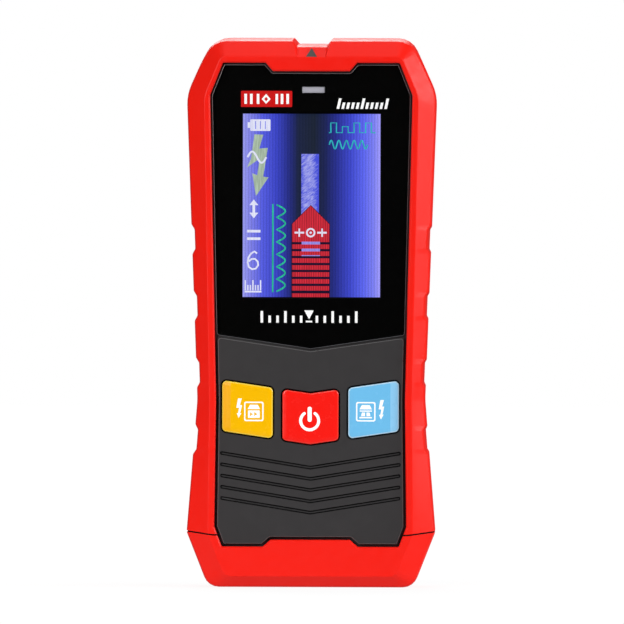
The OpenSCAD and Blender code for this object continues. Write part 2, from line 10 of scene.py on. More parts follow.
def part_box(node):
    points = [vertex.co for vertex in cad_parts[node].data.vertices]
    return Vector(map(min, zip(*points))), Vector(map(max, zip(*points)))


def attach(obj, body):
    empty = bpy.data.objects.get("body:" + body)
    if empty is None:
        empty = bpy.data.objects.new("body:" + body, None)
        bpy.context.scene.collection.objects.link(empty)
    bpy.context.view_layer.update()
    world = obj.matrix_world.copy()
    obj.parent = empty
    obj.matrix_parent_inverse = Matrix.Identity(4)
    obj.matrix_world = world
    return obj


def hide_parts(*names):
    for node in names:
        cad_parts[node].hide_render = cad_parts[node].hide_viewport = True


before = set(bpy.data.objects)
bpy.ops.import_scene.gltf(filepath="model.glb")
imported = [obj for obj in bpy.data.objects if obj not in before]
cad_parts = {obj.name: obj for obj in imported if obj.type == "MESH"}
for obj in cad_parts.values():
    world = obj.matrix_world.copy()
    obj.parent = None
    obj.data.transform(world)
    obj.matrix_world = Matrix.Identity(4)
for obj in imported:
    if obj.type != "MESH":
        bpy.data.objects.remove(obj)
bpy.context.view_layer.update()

scene = bpy.context.scene
MM = 0.001

# Stations along Y in millimetres, from the front rim to the rear felt
RIM, DECK, SEAM = -13.5, -12.6, -12.08
LENS_BACK, SHOULDER = -11.3, -11.0
FLANGE_FRONT, FLANGE_BACK = -9.95, -9.25
LABEL_BACK, BACK, FELT_BACK = 12.95, 13.0, 13.5

BODY_H, NOTCH_FLOOR = 146.6, 145.05
VEE = 0.147  # slope of every chevron line
LENS_VEE, DECK_VEE = 63.6, 63.0
SCREEN_X, SCREEN_LOW, SCREEN_HIGH = 18.35, 77.4, 126.3

# Outlines: the right half from top to bottom, each corner as (x, z, radius)
OUTER = [(26.6, 146.6, 5.7), (33.4, 131.4, 12.8), (30.4, 50, 20), (33.2, 14.7, 2.5), (27.4, 0, 4.2)]
CREASE = [(24.1, 141.6, 2), (28.55, 131.0, 8), (27.0, 50, 20), (27.3, 14.3, 2), (22.8, 3.0, 2.5)]
OPENING = [(10.2, 137.65, 0.3), (12.2, 139.9, 0.3), (23.6, 139.9, 0.6), (27.0, 131.3, 1.5), (25.2, 50, 20),
           (25.6, 16.2, 0.6), (23.6, 10.9, 0.6), (12.7, 10.9, 0.4), (10.6, 12.75, 0.4)]
CORE = [(OUTER[0][0], 145.4, 5.7)] + OUTER[1:]


# ---- Outline functions: a loop runs clockwise, seen from the front ----
def both(half):
    """The whole loop of a right half. Corners on the middle line aren't repeated."""
    return list(half) + [(-x, z, r) for x, z, r in reversed(half) if x > 0]


def unit(v):
    return v / v.length


def inset(loop, d):
    """Moves every edge of a loop inwards by d."""
    out = []
    for i, (x, z, r) in enumerate(loop):
        p, v = Vector(loop[i - 1][:2]), Vector((x, z))
        q = Vector(loop[(i + 1) % len(loop)][:2])
        a, b = unit(v - p), unit(q - v)
        m, n = Vector((a.y, -a.x)), Vector((b.y, -b.x))
        w = v + (m + n) * d / (1 + m.dot(n))
        turn = a.x * b.y - a.y * b.x
        out.append((w.x, w.y, max(0.2, r - d if turn < 0 else r + d) if r > 0 else r))
    return out


def arc(p, v, q, r, steps):
    """The points that round the corner v between p and q.

    A straight corner, or one with a negative radius, spreads its points along the line.
    """
    a, b = unit(p - v), unit(q - v)
    cosine = max(-1.0, min(1.0, a.dot(b)))
    if r == 0:
        return [v]
    if r < 0 or cosine < -0.99999:
        spread = min(abs(r), 0.2)
        return [v + a * spread * (1 - 2 * k / steps) for k in range(steps + 1)]
    half = math.acos(cosine) / 2
    mid = v + unit(a + b) * r / math.sin(half)
    start, end = v + a * r / math.tan(half) - mid, v + b * r / math.tan(half) - mid
    first = math.atan2(start.y, start.x)
    sweep = math.atan2(start.x * end.y - start.y * end.x, start.dot(end))
    return [mid + r * Vector((math.cos(first + sweep * k / steps), math.sin(first + sweep * k / steps)))
            for k in range(steps + 1)]


def rounded(loop, steps=5):
    out = []
    for i, (x, z, r) in enumerate(loop):
        out += arc(Vector(loop[i - 1][:2]), Vector((x, z)), Vector(loop[(i + 1) % len(loop)][:2]), r, steps)
    return out


def chevron(half, z0, above):
    """The part of a half outline above or below the chevron line through (0, z0)."""
    for i in range(len(half) - 1):
        (x0, za, _), (x1, zb, _) = half[i], half[i + 1]
        fa, fb = za - z0 - VEE * x0, zb - z0 - VEE * x1
        if fa > 0 >= fb:
            t = fa / (fa - fb)
            cut = (x0 + (x1 - x0) * t, za + (zb - za) * t, 0.9)
            return half[:i + 1] + [cut, (0, z0, 0.5)] if above else [(0, z0, 0.5), cut] + half[i + 1:]


def polar(x, z, r, a):
    """The corner at the angle a from straight up, r away from (x, z)."""
    return x + r * math.sin(a), z + r * math.cos(a), 0


def circle(x, z, r, n=32):
    return [polar(x, z, r, 2 * math.pi * k / n) for k in range(n)]


def box_loop(x0, z0, x1, z1, r=0.0):
    return [(x0, z1, r), (x1, z1, r), (x1, z0, r), (x0, z0, r)]


def mirror(loop):
    return [(-x, z, r) for x, z, r in reversed(loop)]


def pointed(points):
    """A loop with sharp corners."""
    return [(x, z, 0) for x, z in points]


def bars(*boxes):
    """Shapes without holes, one for each (x0, z0, x1, z1), with a corner radius or without."""
    return [(box_loop(*box), []) for box in boxes]


def ring_box(x0, z0, x1, z1, line, r=0.4):
    """The shape of a frame, line wide."""
    return box_loop(x0, z0, x1, z1, r), [box_loop(x0 + line, z0 + line, x1 - line, z1 - line, max(0.05, r - line))]


# ---- Procedural materials ----
def rgb(r, g, b):
    """A display colour, 0 to 255, as linear values."""
    def linear(c):
        c /= 255
        return c / 12.92 if c <= 0.04045 else ((c + 0.055) / 1.055) ** 2.4
    return (linear(r), linear(g), linear(b), 1.0)


class Nodes:
    """A short way to add and wire shader nodes."""

    def __init__(self, name):
        self.mat = bpy.data.materials.new(name)
        self.mat.use_nodes = True
        self.tree = self.mat.node_tree
        self.shader = self.tree.nodes["Principled BSDF"]
        self.output = self.tree.nodes["Material Output"]
        self.place = self.add("ShaderNodeTexCoord").outputs["Object"]

    def add(self, kind, **values):
        node = self.tree.nodes.new(kind)
        for key, value in values.items():
            if key in node.inputs:
                self.put(node.inputs[key], value)
            else:
                setattr(node, key, value)
        return node

    def put(self, socket, value):
        if isinstance(value, bpy.types.NodeSocket):
            self.tree.links.new(value, socket)
        else:
            socket.default_value = value

    def set(self, **values):
        for key, value in values.items():
            self.put(self.shader.inputs[key.replace("_", " ")], value)

    def noise(self, size_mm, detail=3.0, rough=0.55, stretch=(1, 1, 1), turn=0.0):
        """Noise with features of about size_mm, finer along an axis where stretch is above 1."""
        scale = [s / (size_mm * MM) for s in stretch]
        kind, scale = ("TEXTURE", [1 / s for s in scale]) if turn else ("POINT", scale)
        scaled = self.add("ShaderNodeMapping", vector_type=kind, Vector=self.place, Rotation=[0, turn, 0], Scale=scale)
        return self.add("ShaderNodeTexNoise", Vector=scaled.outputs[0], Scale=1.0, Detail=detail,
                        Roughness=rough).outputs["Fac"]

    def axes(self):
        """The x, y and z outputs of the place in the object."""
        return self.add("ShaderNodeSeparateXYZ", Vector=self.place).outputs

    def bands(self, pitch_mm, distortion=0.0):
        """Stripes across X. The wave node draws one band in 0.314 units."""
        return self.add("ShaderNodeTexWave", wave_type="BANDS", bands_direction="X", Vector=self.place,
                        Scale=0.314 / (pitch_mm * MM), Distortion=distortion).outputs["Fac"]

    def remap(self, value, low, high, start=0.0, stop=1.0):
        """Maps start and stop to low and high, and stays between them."""
        return self.add("ShaderNodeMapRange", **{"Value": value, "From Min": start, "From Max": stop, "To Min": low,
                                                 "To Max": high}).outputs[0]

    def math(self, operation, a, b=0.0, clamp=False):
        node = self.add("ShaderNodeMath", operation=operation, use_clamp=clamp)
        self.put(node.inputs[0], a)
        self.put(node.inputs[1], b)
        return node.outputs[0]

    def mix(self, fac, a, b, mode="MIX"):
        node = self.add("ShaderNodeMix", data_type="RGBA", blend_type=mode)
        for i, value in ((0, fac), (6, a), (7, b)):  # the colour sockets are 6, 7 and 2
            self.put(node.inputs[i], value)
        return node.outputs[2]

    def surface(self, fac, a, b):
        """Mixes two shaders into the material's surface."""
        node = self.add("ShaderNodeMixShader")
        for socket, value in zip(node.inputs, (fac, a.outputs[0], b.outputs[0])):
            self.put(socket, value)
        self.put(self.output.inputs["Surface"], node.outputs[0])

    def bump(self, height, strength, distance_mm):
        return self.add("ShaderNodeBump", Height=height, Strength=strength, Distance=distance_mm * MM).outputs[0]


def tint(color, k):
    return tuple(min(1.0, c * k) for c in color[:3]) + (1.0,)


def moulded(name, color, rough=0.45, spread=0.06, grain=0.35, depth=0.012, spec=0.4, wear=0.0, metal=0.0,
            coat=0.0, glow=0.0):
    """Moulded or painted surface: faint mottling, a fine grain and slightly rubbed edges."""
    m = Nodes(name)
    cloud, fine = m.noise(6.0, 4), m.noise(grain, 2)
    base = m.mix(cloud, tint(color, 1 - spread), tint(color, 1 + spread))
    speck = m.mix(m.remap(fine, 0.0, 0.5, 0.35, 0.75), base, tint(color, 1 + 0.8 * spread))
    if wear:
        edge = m.add("ShaderNodeNewGeometry").outputs["Pointiness"]
        rub = m.math("MULTIPLY", m.remap(edge, 0.0, wear, 0.52, 0.62), m.remap(cloud, 0.3, 1.0, 0.35, 0.7))
        speck = m.mix(rub, speck, tint(color, 1.9))
    low, high = max(0.02, rough - 0.07), min(1.0, rough + 0.07)
    m.set(Base_Color=speck, Roughness=m.remap(m.noise(2.2, 3), low, high, 0.3, 0.7), Metallic=metal,
          Specular_IOR_Level=spec, Coat_Weight=coat, Coat_Roughness=0.08,
          Normal=m.bump(fine, 0.35, depth))
    if glow:
        m.set(Emission_Color=speck, Emission_Strength=glow)
    return m.mat


def brushed(name, color, rough=0.3, stretch=(1, 1, 14)):
    """Metal with fine drawing lines."""
    m = Nodes(name)
    lines = m.noise(0.5, 2, stretch=stretch)
    m.set(Base_Color=m.mix(lines, tint(color, 0.8), tint(color, 1.12)), Metallic=1.0,
          Roughness=m.remap(lines, rough - 0.08, rough + 0.14, 0.3, 0.7), Normal=m.bump(lines, 0.3, 0.01))
    return m.mat


def fabric(name, color):
    """Pressed felt: tangled fibres and a soft sheen."""
    m = Nodes(name)
    strands = m.noise(0.3, 5, 0.7, stretch=(1, 0.5, 2.2))
    cross = m.noise(0.22, 4, 0.7, stretch=(2.4, 0.5, 1))
    fibre = m.math("ADD", m.math("MULTIPLY", strands, 0.5), m.math("MULTIPLY", cross, 0.5))
    base = m.mix(m.remap(fibre, 0, 1, 0.35, 0.65), tint(color, 0.45), tint(color, 1.8))
    m.set(Base_Color=base, Roughness=0.95, Specular_IOR_Level=0.15, Sheen_Weight=0.5, Sheen_Roughness=0.5,
          Normal=m.bump(fibre, 0.9, 0.12))
    return m.mat


def circuit(name):
    """Green solder mask with faint copper tracks under it."""
    m = Nodes(name)
    turned = m.add("ShaderNodeMapping", Vector=m.place, Rotation=[math.radians(90), 0, 0], Scale=[1 / MM] * 3)
    brick = m.add("ShaderNodeTexBrick", offset=0.37, **{"Vector": turned.outputs[0], "Scale": 0.45, "Mortar Size": 0.05,
                                                        "Brick Width": 2.6, "Row Height": 0.7})
    track = m.remap(brick.outputs["Fac"], 1.0, 0.0)
    base = m.mix(track, rgb(12, 62, 38), rgb(22, 98, 58))
    m.set(Base_Color=m.mix(m.noise(9), base, rgb(16, 84, 50)), Roughness=m.remap(m.noise(1.5), 0.25, 0.42),
          Normal=m.bump(track, 0.4, 0.03))
    return m.mat


def glassy(name):
    """Clear plastic: straight through, with a reflection that grows towards grazing angles."""
    m = Nodes(name)
    clear = m.add("ShaderNodeBsdfTransparent", Color=(1, 1, 1, 1))
    gloss = m.add("ShaderNodeBsdfGlossy", Roughness=m.remap(m.noise(14, 4), 0.02, 0.08, 0.3, 0.8))
    outside = m.math("SUBTRACT", 1.0, m.add("ShaderNodeNewGeometry").outputs["Backfacing"])
    m.surface(m.math("MULTIPLY", m.add("ShaderNodeFresnel", IOR=1.45).outputs[0], outside), clear, gloss)
    return m.mat


def lit(name, color, strength, spread, comb=0.0):
    """A glowing display shape with faint column noise, and evenly spaced columns where comb is given."""
    m = Nodes(name)
    rows = m.noise(0.55, 1, stretch=(4, 1, 0.15))
    tone = m.mix(m.remap(rows, 0, 1, 0.35, 0.65), tint(color, 1 - spread), tint(color, 1 + spread))
    if comb:
        tone = m.mix(1.0, tone, m.remap(m.bands(0.62), 1 - comb, 1 + comb), "MULTIPLY")
    m.set(Base_Color=rgb(8, 8, 10), Roughness=0.4, Specular_IOR_Level=0.1, Emission_Color=tone,
          Emission_Strength=strength)
    return m.mat


def display(name):
    """The lit area: blue columns, pale at both sides and dark in the middle, inside a black border."""
    m = Nodes(name)
    x, _, z = m.axes()
    ramp = m.add("ShaderNodeValToRGB")
    stops = [(0.0, (152, 154, 236)), (0.06, (124, 126, 228)), (0.14, (84, 92, 222)), (0.24, (58, 68, 196)),
             (0.33, (36, 44, 132)), (0.40, (25, 34, 66)), (0.52, (24, 33, 50)), (0.60, (26, 34, 84)),
             (0.68, (38, 46, 140)), (0.78, (60, 70, 200)), (0.88, (92, 102, 238)), (0.95, (122, 126, 240)),
             (1.0, (160, 156, 250))]
    while len(ramp.color_ramp.elements) < len(stops):
        ramp.color_ramp.elements.new(0.5)
    for stop, (at, color) in zip(ramp.color_ramp.elements, stops):
        stop.position, stop.color = at, rgb(*color)
    m.put(ramp.inputs[0], m.remap(x, 0, 1, -SCREEN_X * MM, SCREEN_X * MM))
    stripes = m.remap(m.bands(0.8, 0.3), 0.88, 1.12)
    dots = m.remap(m.noise(0.3, 1), 0.9, 1.1, 0.3, 0.7)
    tone = m.mix(1.0, ramp.outputs[0], m.math("MULTIPLY", stripes, dots), "MULTIPLY")
    tall = m.math("MULTIPLY", m.math("GREATER_THAN", z, SCREEN_LOW * MM), m.math("LESS_THAN", z, SCREEN_HIGH * MM))
    inside = m.math("MULTIPLY", m.math("LESS_THAN", m.math("ABSOLUTE", x), SCREEN_X * MM), tall)
    m.set(Base_Color=rgb(10, 10, 12), Roughness=0.35, Specular_IOR_Level=0.1, Emission_Color=tone,
          Emission_Strength=inside)
    return m.mat


red = moulded("bumper_red", rgb(248, 28, 15), 0.36, 0.03, 0.16, 0.01, 0.2, wear=0.10)
grey = moulded("housing_grey", rgb(51, 49, 50), 0.5, 0.07, 0.22, 0.02, 0.3, wear=0.16)
# A lighter grey on the deck plate's edge bevel: a painted highlight
grey_edge_painted_highlight = moulded("housing_edge_painted_highlight", rgb(88, 86, 87), 0.32, 0.05, 0.22, 0.008, 0.5)
# Black for painted shade: on the walls of holes and grooves, on the keys' hidden flange faces and on the sheet in the
# parting gap
painted_shade_black = moulded("shadow_black", rgb(9, 9, 9), 0.7, 0.2, 0.3, 0.004, 0.1)
# Grey on the front bevel of the clear lens: a painted highlight
lens_edge_painted_highlight = moulded("lens_edge_painted_highlight", rgb(92, 92, 95), 0.2, 0.1, 0.3, 0.003, 0.6)
marker = moulded("marker_grey", rgb(80, 77, 74), 0.5, 0.06, 0.2, 0.01, 0.3)
black = moulded("lens_black", rgb(2, 2, 2), 0.5, 0.2, 0.3, 0.004, 0.03)
clear = glassy("lens_clear")
yellow = moulded("key_yellow", rgb(252, 190, 0), 0.24, 0.03, 0.5, 0.004, 0.2, coat=0.15)
key_red = moulded("key_red", rgb(254, 28, 20), 0.24, 0.03, 0.5, 0.004, 0.2, coat=0.12)
blue = moulded("key_blue", rgb(114, 194, 240), 0.24, 0.03, 0.5, 0.004, 0.2, coat=0.15)
# Lighter tints on the keys' edge bevels: painted highlights
yellow_painted_highlight = moulded("key_yellow_painted_highlight", rgb(255, 216, 74), 0.16, 0.03, 0.5, 0.003, 0.5, coat=0.4)
red_painted_highlight = moulded("key_red_painted_highlight", rgb(255, 58, 46), 0.16, 0.03, 0.5, 0.003, 0.5, coat=0.4)
blue_painted_highlight = moulded("key_blue_painted_highlight", rgb(188, 226, 250), 0.16, 0.03, 0.5, 0.003, 0.5, coat=0.4)
# The side keys' outer slopes: a darker yellow on the left key is painted shade, a lighter blue on the right key is
# painted light
yellow_side_painted_shade = moulded("key_yellow_side_painted_shade", rgb(249, 180, 0), 0.3, 0.03, 0.5, 0.004, 0.2)
blue_side_painted_light = moulded("key_blue_side_painted_light", rgb(142, 206, 246), 0.3, 0.03, 0.5, 0.004, 0.3)
# White print with a faint glow of its own: the print is real, the glow is painted light
ink_with_painted_glow = moulded("print_white_painted_glow", rgb(252, 252, 252), 0.5, 0.03, 0.2, 0.004, 0.3, glow=0.12)
badge_red = moulded("badge_red", rgb(212, 14, 14), 0.4, 0.04, 0.3, 0.004, 0.2)
board = circuit("circuit_green")
steel = brushed("steel", (0.62, 0.62, 0.64, 1))
dark_steel = brushed("dark_steel", (0.2, 0.2, 0.21, 1), 0.34, (6, 1, 6))
copper = brushed("copper", (0.75, 0.36, 0.16, 1), 0.34, (3, 3, 3))
felt = fabric("felt_grey", rgb(84, 84, 88))
foam = moulded("foam_black", rgb(26, 26, 27), 0.95, 0.3, 0.25, 0.08, 0.1)
chip = moulded("chip_black", rgb(24, 24, 26), 0.55, 0.15, 0.2, 0.01, 0.3)
ivory = moulded("ivory_plastic", rgb(228, 222, 204), 0.45, 0.05, 0.4, 0.008, 0.4)
vinyl = moulded("vinyl_black", rgb(20, 20, 21), 0.5, 0.15, 0.3, 0.02, 0.4)
film = moulded("flex_film", rgb(196, 118, 40), 0.3, 0.08, 0.4, 0.006, 0.4)
pipe = moulded("light_pipe", rgb(170, 170, 180), 0.3, 0.05, 0.5, 0.01, 0.4, glow=0.1)
led = moulded("led_cream", rgb(240, 236, 200), 0.35, 0.05, 0.3, 0.01, 0.4)
diffuser = moulded("diffuser_white", rgb(236, 238, 242), 0.6, 0.03, 0.3, 0.01, 0.3)
silver = moulded("label_silver", rgb(176, 177, 180), 0.38, 0.05, 0.2, 0.006, 0.5, metal=0.35)
label_ink = moulded("label_ink", rgb(34, 34, 36), 0.55, 0.1, 0.2, 0.004, 0.3)


def two_tone(name, axis, border, low, high, rough=0.35, metal=(0.0, 0.0)):
    """Two colours that meet at border millimetres along an axis."""
    m, soft = Nodes(name), 0.02
    side = m.remap(m.axes()[axis], 0, 1, (border - soft) * MM, (border + soft) * MM)
    cloud, fine = m.noise(4, 3), m.noise(0.3, 2)
    pair = m.mix(side, low, high)
    m.set(Base_Color=m.mix(m.math("MULTIPLY", cloud, 0.16), pair, tint(low, 0.3)),
          Roughness=m.remap(m.noise(1.6, 3), rough - 0.07, rough + 0.09, 0.3, 0.7),
          Metallic=m.remap(side, *metal), Normal=m.bump(fine, 0.1, 0.003))
    return m.mat


leads = two_tone("lead_colours", "Y", -2.12, rgb(22, 22, 23), rgb(196, 26, 20))
wrapper = two_tone("battery_wrap", "X", 8.0, rgb(30, 33, 38), rgb(206, 152, 66), 0.28, (0.1, 0.75))


# ---- Mesh helpers ----
def place(name, bm, body, slot, materials, replaces=(), angle=30):
    """Turns a bmesh into an object of the frame. Edges above the angle are sharp."""
    bmesh.ops.remove_doubles(bm, verts=bm.verts, dist=2e-7)
    bmesh.ops.recalc_face_normals(bm, faces=bm.faces)
    mesh = bpy.data.meshes.new(name)
    bm.to_mesh(mesh)
    bm.free()
    for face in mesh.polygons:
        face.use_smooth = True
    mesh.set_sharp_from_angle(angle=math.radians(angle))
    for material in materials if isinstance(materials, list) else [materials]:
        mesh.materials.append(material)
    obj = bpy.data.objects.new(name, mesh)
    scene.collection.objects.link(obj)
    obj.modifiers.new("normals", "WEIGHTED_NORMAL").keep_sharp = True
    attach(obj, body)
    if replaces:
        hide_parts(*replaces)
    return obj


def loft(bm, loop, rows, steps, paint):
    """Skins the loop through rows of (inset, y). Returns the edges of its first and last rings.

    paint gives the bands' material numbers, 0 where it ends.
    """
    rings = []
    for d, y in rows:
        moved = inset(loop, d) if d else loop
        rings.append([bm.verts.new((p[0] * MM, y * MM, p[1] * MM)) for p in rounded(moved, steps)])
    n = len(rings[0])
    for band, (a, b) in enumerate(zip(rings, rings[1:])):
        for i in range(n):
            face = bm.faces.new((a[i], a[(i + 1) % n], b[(i + 1) % n], b[i]))
            face.material_index = paint[band] if band < len(paint) else 0
    ends = []
    for ring in (rings[0], rings[-1]):
        ends.append([bm.edges.get((ring[i], ring[(i + 1) % n])) or bm.edges.new((ring[i], ring[(i + 1) % n]))
                     for i in range(n)])
    return ends


def cap(bm, edges):
    bmesh.ops.triangle_fill(bm, use_beauty=True, use_dissolve=False, edges=edges)


def filled(bm, lofts, steps=5):
    """Makes lofts of (loop, rows, paint), and closes the front and the back between all of them."""
    fronts, backs = [], []
    for loop, rows, paint in lofts:
        first, last = loft(bm, loop, rows, steps, paint)
        fronts += first
        backs += last
    cap(bm, fronts)
    cap(bm, backs)


def sliced(bm, point, normal, **cleared):
    """Cuts a mesh along the plane through a point in millimetres. Returns the edges of the cut."""
    cut = bmesh.ops.bisect_plane(bm, geom=bm.verts[:] + bm.edges[:] + bm.faces[:], dist=1e-8,
                                 plane_co=[c * MM for c in point], plane_no=normal, **cleared)
    return [e for e in cut["geom_cut"] if isinstance(e, bmesh.types.BMEdge)]


def cad_copy(node):
    """A welded copy of a CAD node's mesh."""
    bm = bmesh.new()
    bm.from_mesh(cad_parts[node].data)
    bmesh.ops.remove_doubles(bm, verts=bm.verts, dist=1e-6)
    return bm


def edge_profile(y0, y1, front, back, sign=1):
    """The rows of a plate from y0 to y1 with rounded front and back edges."""
    def rounding(y, r, inwards, turns):
        if not r:
            return [(0, y)]
        return [(sign * r * (1 - math.sin(a)), y + inwards * r * (1 - math.cos(a))) for a in turns]

    quarter = 0, math.pi / 6, math.pi / 3, math.pi / 2
    return rounding(y0, front, 1, quarter) + rounding(y1, back, -1, quarter[::-1])


def plates(name, shapes, y0, y1, body, slot, material, front=0.0, back=0.0, steps=5, replaces=(), paint=()):
    """Flat pieces from y0 to y1. Each shape is (outline, holes)."""
    bm = bmesh.new()
    rows, hole_rows = edge_profile(y0, y1, front, back), edge_profile(y0, y1, front, back, -1)
    for outline, holes in shapes:
        filled(bm, [(outline, rows, paint)] + [(hole, hole_rows, ()) for hole in holes], steps)
    place(name, bm, body, slot, material, replaces)


def dressed(node, material, width):
    """A CAD node as it is, with softened edges and a material."""
    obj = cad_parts[node]
    obj.data.materials.clear()
    obj.data.materials.append(material)
    obj.modifiers.new("weld", "WELD").merge_threshold = 1e-6
    if width:
        bevel = obj.modifiers.new("edges", "BEVEL")
        bevel.width = width * MM
        bevel.segments = 2
        bevel.limit_method = "ANGLE"
        bevel.angle_limit = math.radians(32)
        bevel.use_clamp_overlap = False
    for face in obj.data.polygons:
        face.use_smooth = True
    obj.modifiers.new("normals", "WEIGHTED_NORMAL").keep_sharp = True


# ---- Bumper ----
GRIP_Z = [39.4 + 17.8 * i for i in range(4)]
DUMMY = -0.2  # radius of a station on a straight stretch: all rings have the same stations
TOP_DROP = 0.6  # how much lower the top side is at its front edge
PARTING = (26.0, 14.0, 0.13)  # x, z and slope of the parting line: level up to x, then rising
GAP = 0.2  # half of its gap
FACET_EDGE, CORE_FRONT, CORE_BACK = -9.6, -9.7, 12.2  # y of the front facet's outer edge and of the hidden wall


def on_side(corners, z):
    """x on the straight side through shoulder, waist and base at height z."""
    for (x0, z0, _), (x1, z1, _) in zip(corners, corners[1:]):
        if z0 >= z >= z1:
            return x0 + (x1 - x0) * (z0 - z) / (z0 - z1)
    return corners[-1][0]


def grip(side, z, depth):
    """Four corners of a finger recess, from its upper end to its lower end."""
    ramp = 1.4 * depth / 0.85
    if depth <= 0:
        return [(on_side(side, z + h), z + h, DUMMY) for h in (4.0, 2.6, -2.6, -4.0)]
    heights = (2.6 + ramp, 2.6, -2.6, -2.6 - ramp)
    return [(on_side(side, z + h) - (depth if abs(h) < 2.7 else 0), z + h, 0.9) for h in heights]


def half_ring(corners, notch, side, waist, base, depth=0.0):
    """The stations of a ring, which every ring has in the same number and order."""
    line = side + [waist, base[0]]
    return (notch + corners + side + [c for z in GRIP_Z[:0:-1] for c in grip(line, z, depth)]
            + [waist] + grip(line, GRIP_Z[0], depth) + base)


def outline_ring(c, notch_low, notch_high, depth=0.0, top_x=(10.4, 12.6)):
    """A ring from five corners: top, shoulder, waist, base and foot."""
    top, foot = c[0][1], c[4][1]
    corners = [(top_x[0], top, DUMMY), (top_x[1], top, DUMMY), c[0]]
    base = [c[3], c[4], (12.7, foot, DUMMY), (10.6, foot, DUMMY)]
    return half_ring(corners, [notch_low, notch_high], [c[1]], c[2], base, depth)


def opening_ring(c):
    z = c[0][1]
    return half_ring(c[:3], [(3.4, z, -0.03), (3.6, z, -0.03)], [c[3]], c[4], c[5:])


def open_points(corners, parts, steps=4):
    """Points of a right half ring, from the top to the foot, with parts steps from corner to corner."""
    pts = [(0, corners[0][1], 0)] + corners + [(0, corners[-1][1], 0)]
    groups = [[Vector(pts[0][:2])]]
    for i in range(1, len(pts) - 1):
        p, v, q = (Vector(pts[k][:2]) for k in (i - 1, i, i + 1))
        groups.append(arc(p, v, q, pts[i][2], steps))
    groups.append([Vector(pts[-1][:2])])
    out = list(groups[0])
    for part, a, b in zip(parts, groups, groups[1:]):
        out += [a[-1].lerp(b[0], k / part) for k in range(1, part)] + b
    return out


def filleted(keys, radii, steps=4):
    """Rounds the corners of a closed chain of points."""
    out = []
    for i, p in enumerate(keys):
        if not radii[i]:
            out.append(p)
            continue
        a, b = keys[i - 1], keys[(i + 1) % len(keys)]
        da, db = min(radii[i], 0.45 * (a - p).length), min(radii[i], 0.45 * (b - p).length)
        s, e = p + unit(a - p) * da, p + unit(b - p) * db
        out += [s.lerp(p, k / steps).lerp(p.lerp(e, k / steps), k / steps) for k in range(steps + 1)]
    return out


def bumper_columns():
    """Profiles of the right half, from the top to the foot."""
    # Five corners each: the widest line, further back where recesses end, the back edge, and the hidden wall
    draft5 = [(x - 0.4, z, r) for x, z, r in OUTER]
    back5 = inset(both(OUTER), 2.2)[:5]
    core5, lip5 = inset(both(CORE), 2.9)[:5], inset(both(CORE), 4.2)[:5]

    def flat(c):
        return (3.95, c[0][1], -0.03), (4.4, c[0][1], -0.03)

    rings = {
        "opening": opening_ring(OPENING),
        "inner": opening_ring(inset(both(OPENING), -0.4)[:9]),
        "crease": outline_ring(CREASE, (3.72, 141.6, -0.03), (3.86, 141.6, -0.03), top_x=(10.2, 12.2)),
        "outer": outline_ring(OUTER, (3.95, NOTCH_FLOOR, 0.3), (5.2, 146.6, 0.35), 0.85),
        "draft": outline_ring(draft5, (3.95, NOTCH_FLOOR, 0.3), (5.2, 146.6, 0.3), 0.45),
        "back": outline_ring(back5, *flat(back5)),
        "core": outline_ring(core5, *flat(core5)),
        "lip": outline_ring(lip5, *flat(lip5)),
    }
    spans = [(0, BODY_H)] + [c[:2] for c in rings["outer"]] + [(0, 0)]
    parts = [max(1, round(math.dist(a, b) / 2.5)) for a, b in zip(spans, spans[1:])]
    points = {name: open_points(ring, parts) for name, ring in rings.items()}
    plain = OUTER[1:4]
    columns = []
    for i, out in enumerate(points["outer"]):
        at = {name: pts[i] for name, pts in points.items()}

        def on(ring, y):
            return Vector((at[ring].x, y, at[ring].y))

        # notch: 0 to 1 down into the marking notch. side: how deep the column is in a finger recess
        in_notch = out.x < 6 and out.y > 100
        notch = max(0.0, min(1.0, (BODY_H - out.y) / (BODY_H - NOTCH_FLOOR))) if in_notch else 0.0
        side = on_side(plain, out.y) - out.x if 34 < out.y < 99 else 0.0
        # The front facet runs from the crease to its outer edge, and keeps its slope in a recess
        facet = max(0.5, (out - at["crease"]).length)
        front = out + unit(at["crease"] - out) * 0.36
        edge = Vector((front.x, FACET_EDGE - 0.107 * notch - 4.1 * max(0.0, side) / facet, front.y))
        lowered = TOP_DROP * max(0.0, min(1.0, (out.y - 138) / 5)) ** 2
        edge.z -= lowered
        widest = Vector((out.x, edge.y + 1.7, out.y - lowered))
        crease = on("crease", RIM)
        up = crease + unit(edge - crease) * 1.2
        # The notch's floor starts behind the crease. The recesses and the notch fade out towards the back
        notch_up = Vector((crease.x, -12.804, 141.03))
        extra = (BODY_H - at["draft"].y) if notch else max(0.0, side - 0.4)
        columns.append(filleted([
            on("opening", SHOULDER), on("opening", RIM + 0.42), on("inner", RIM), crease, up.lerp(notch_up, notch),
            edge, widest, on("draft", 9.0 + 3.2 * extra / 1.8), on("back", CORE_BACK), on("core", CORE_BACK),
            on("core", CORE_FRONT), on("lip", SHOULDER),
        ], [0, 0.1, 0.12, 0.24, 0.2, 0.3, 0.5, 0.9, 0.3, 0, 0, 0]))
    return columns


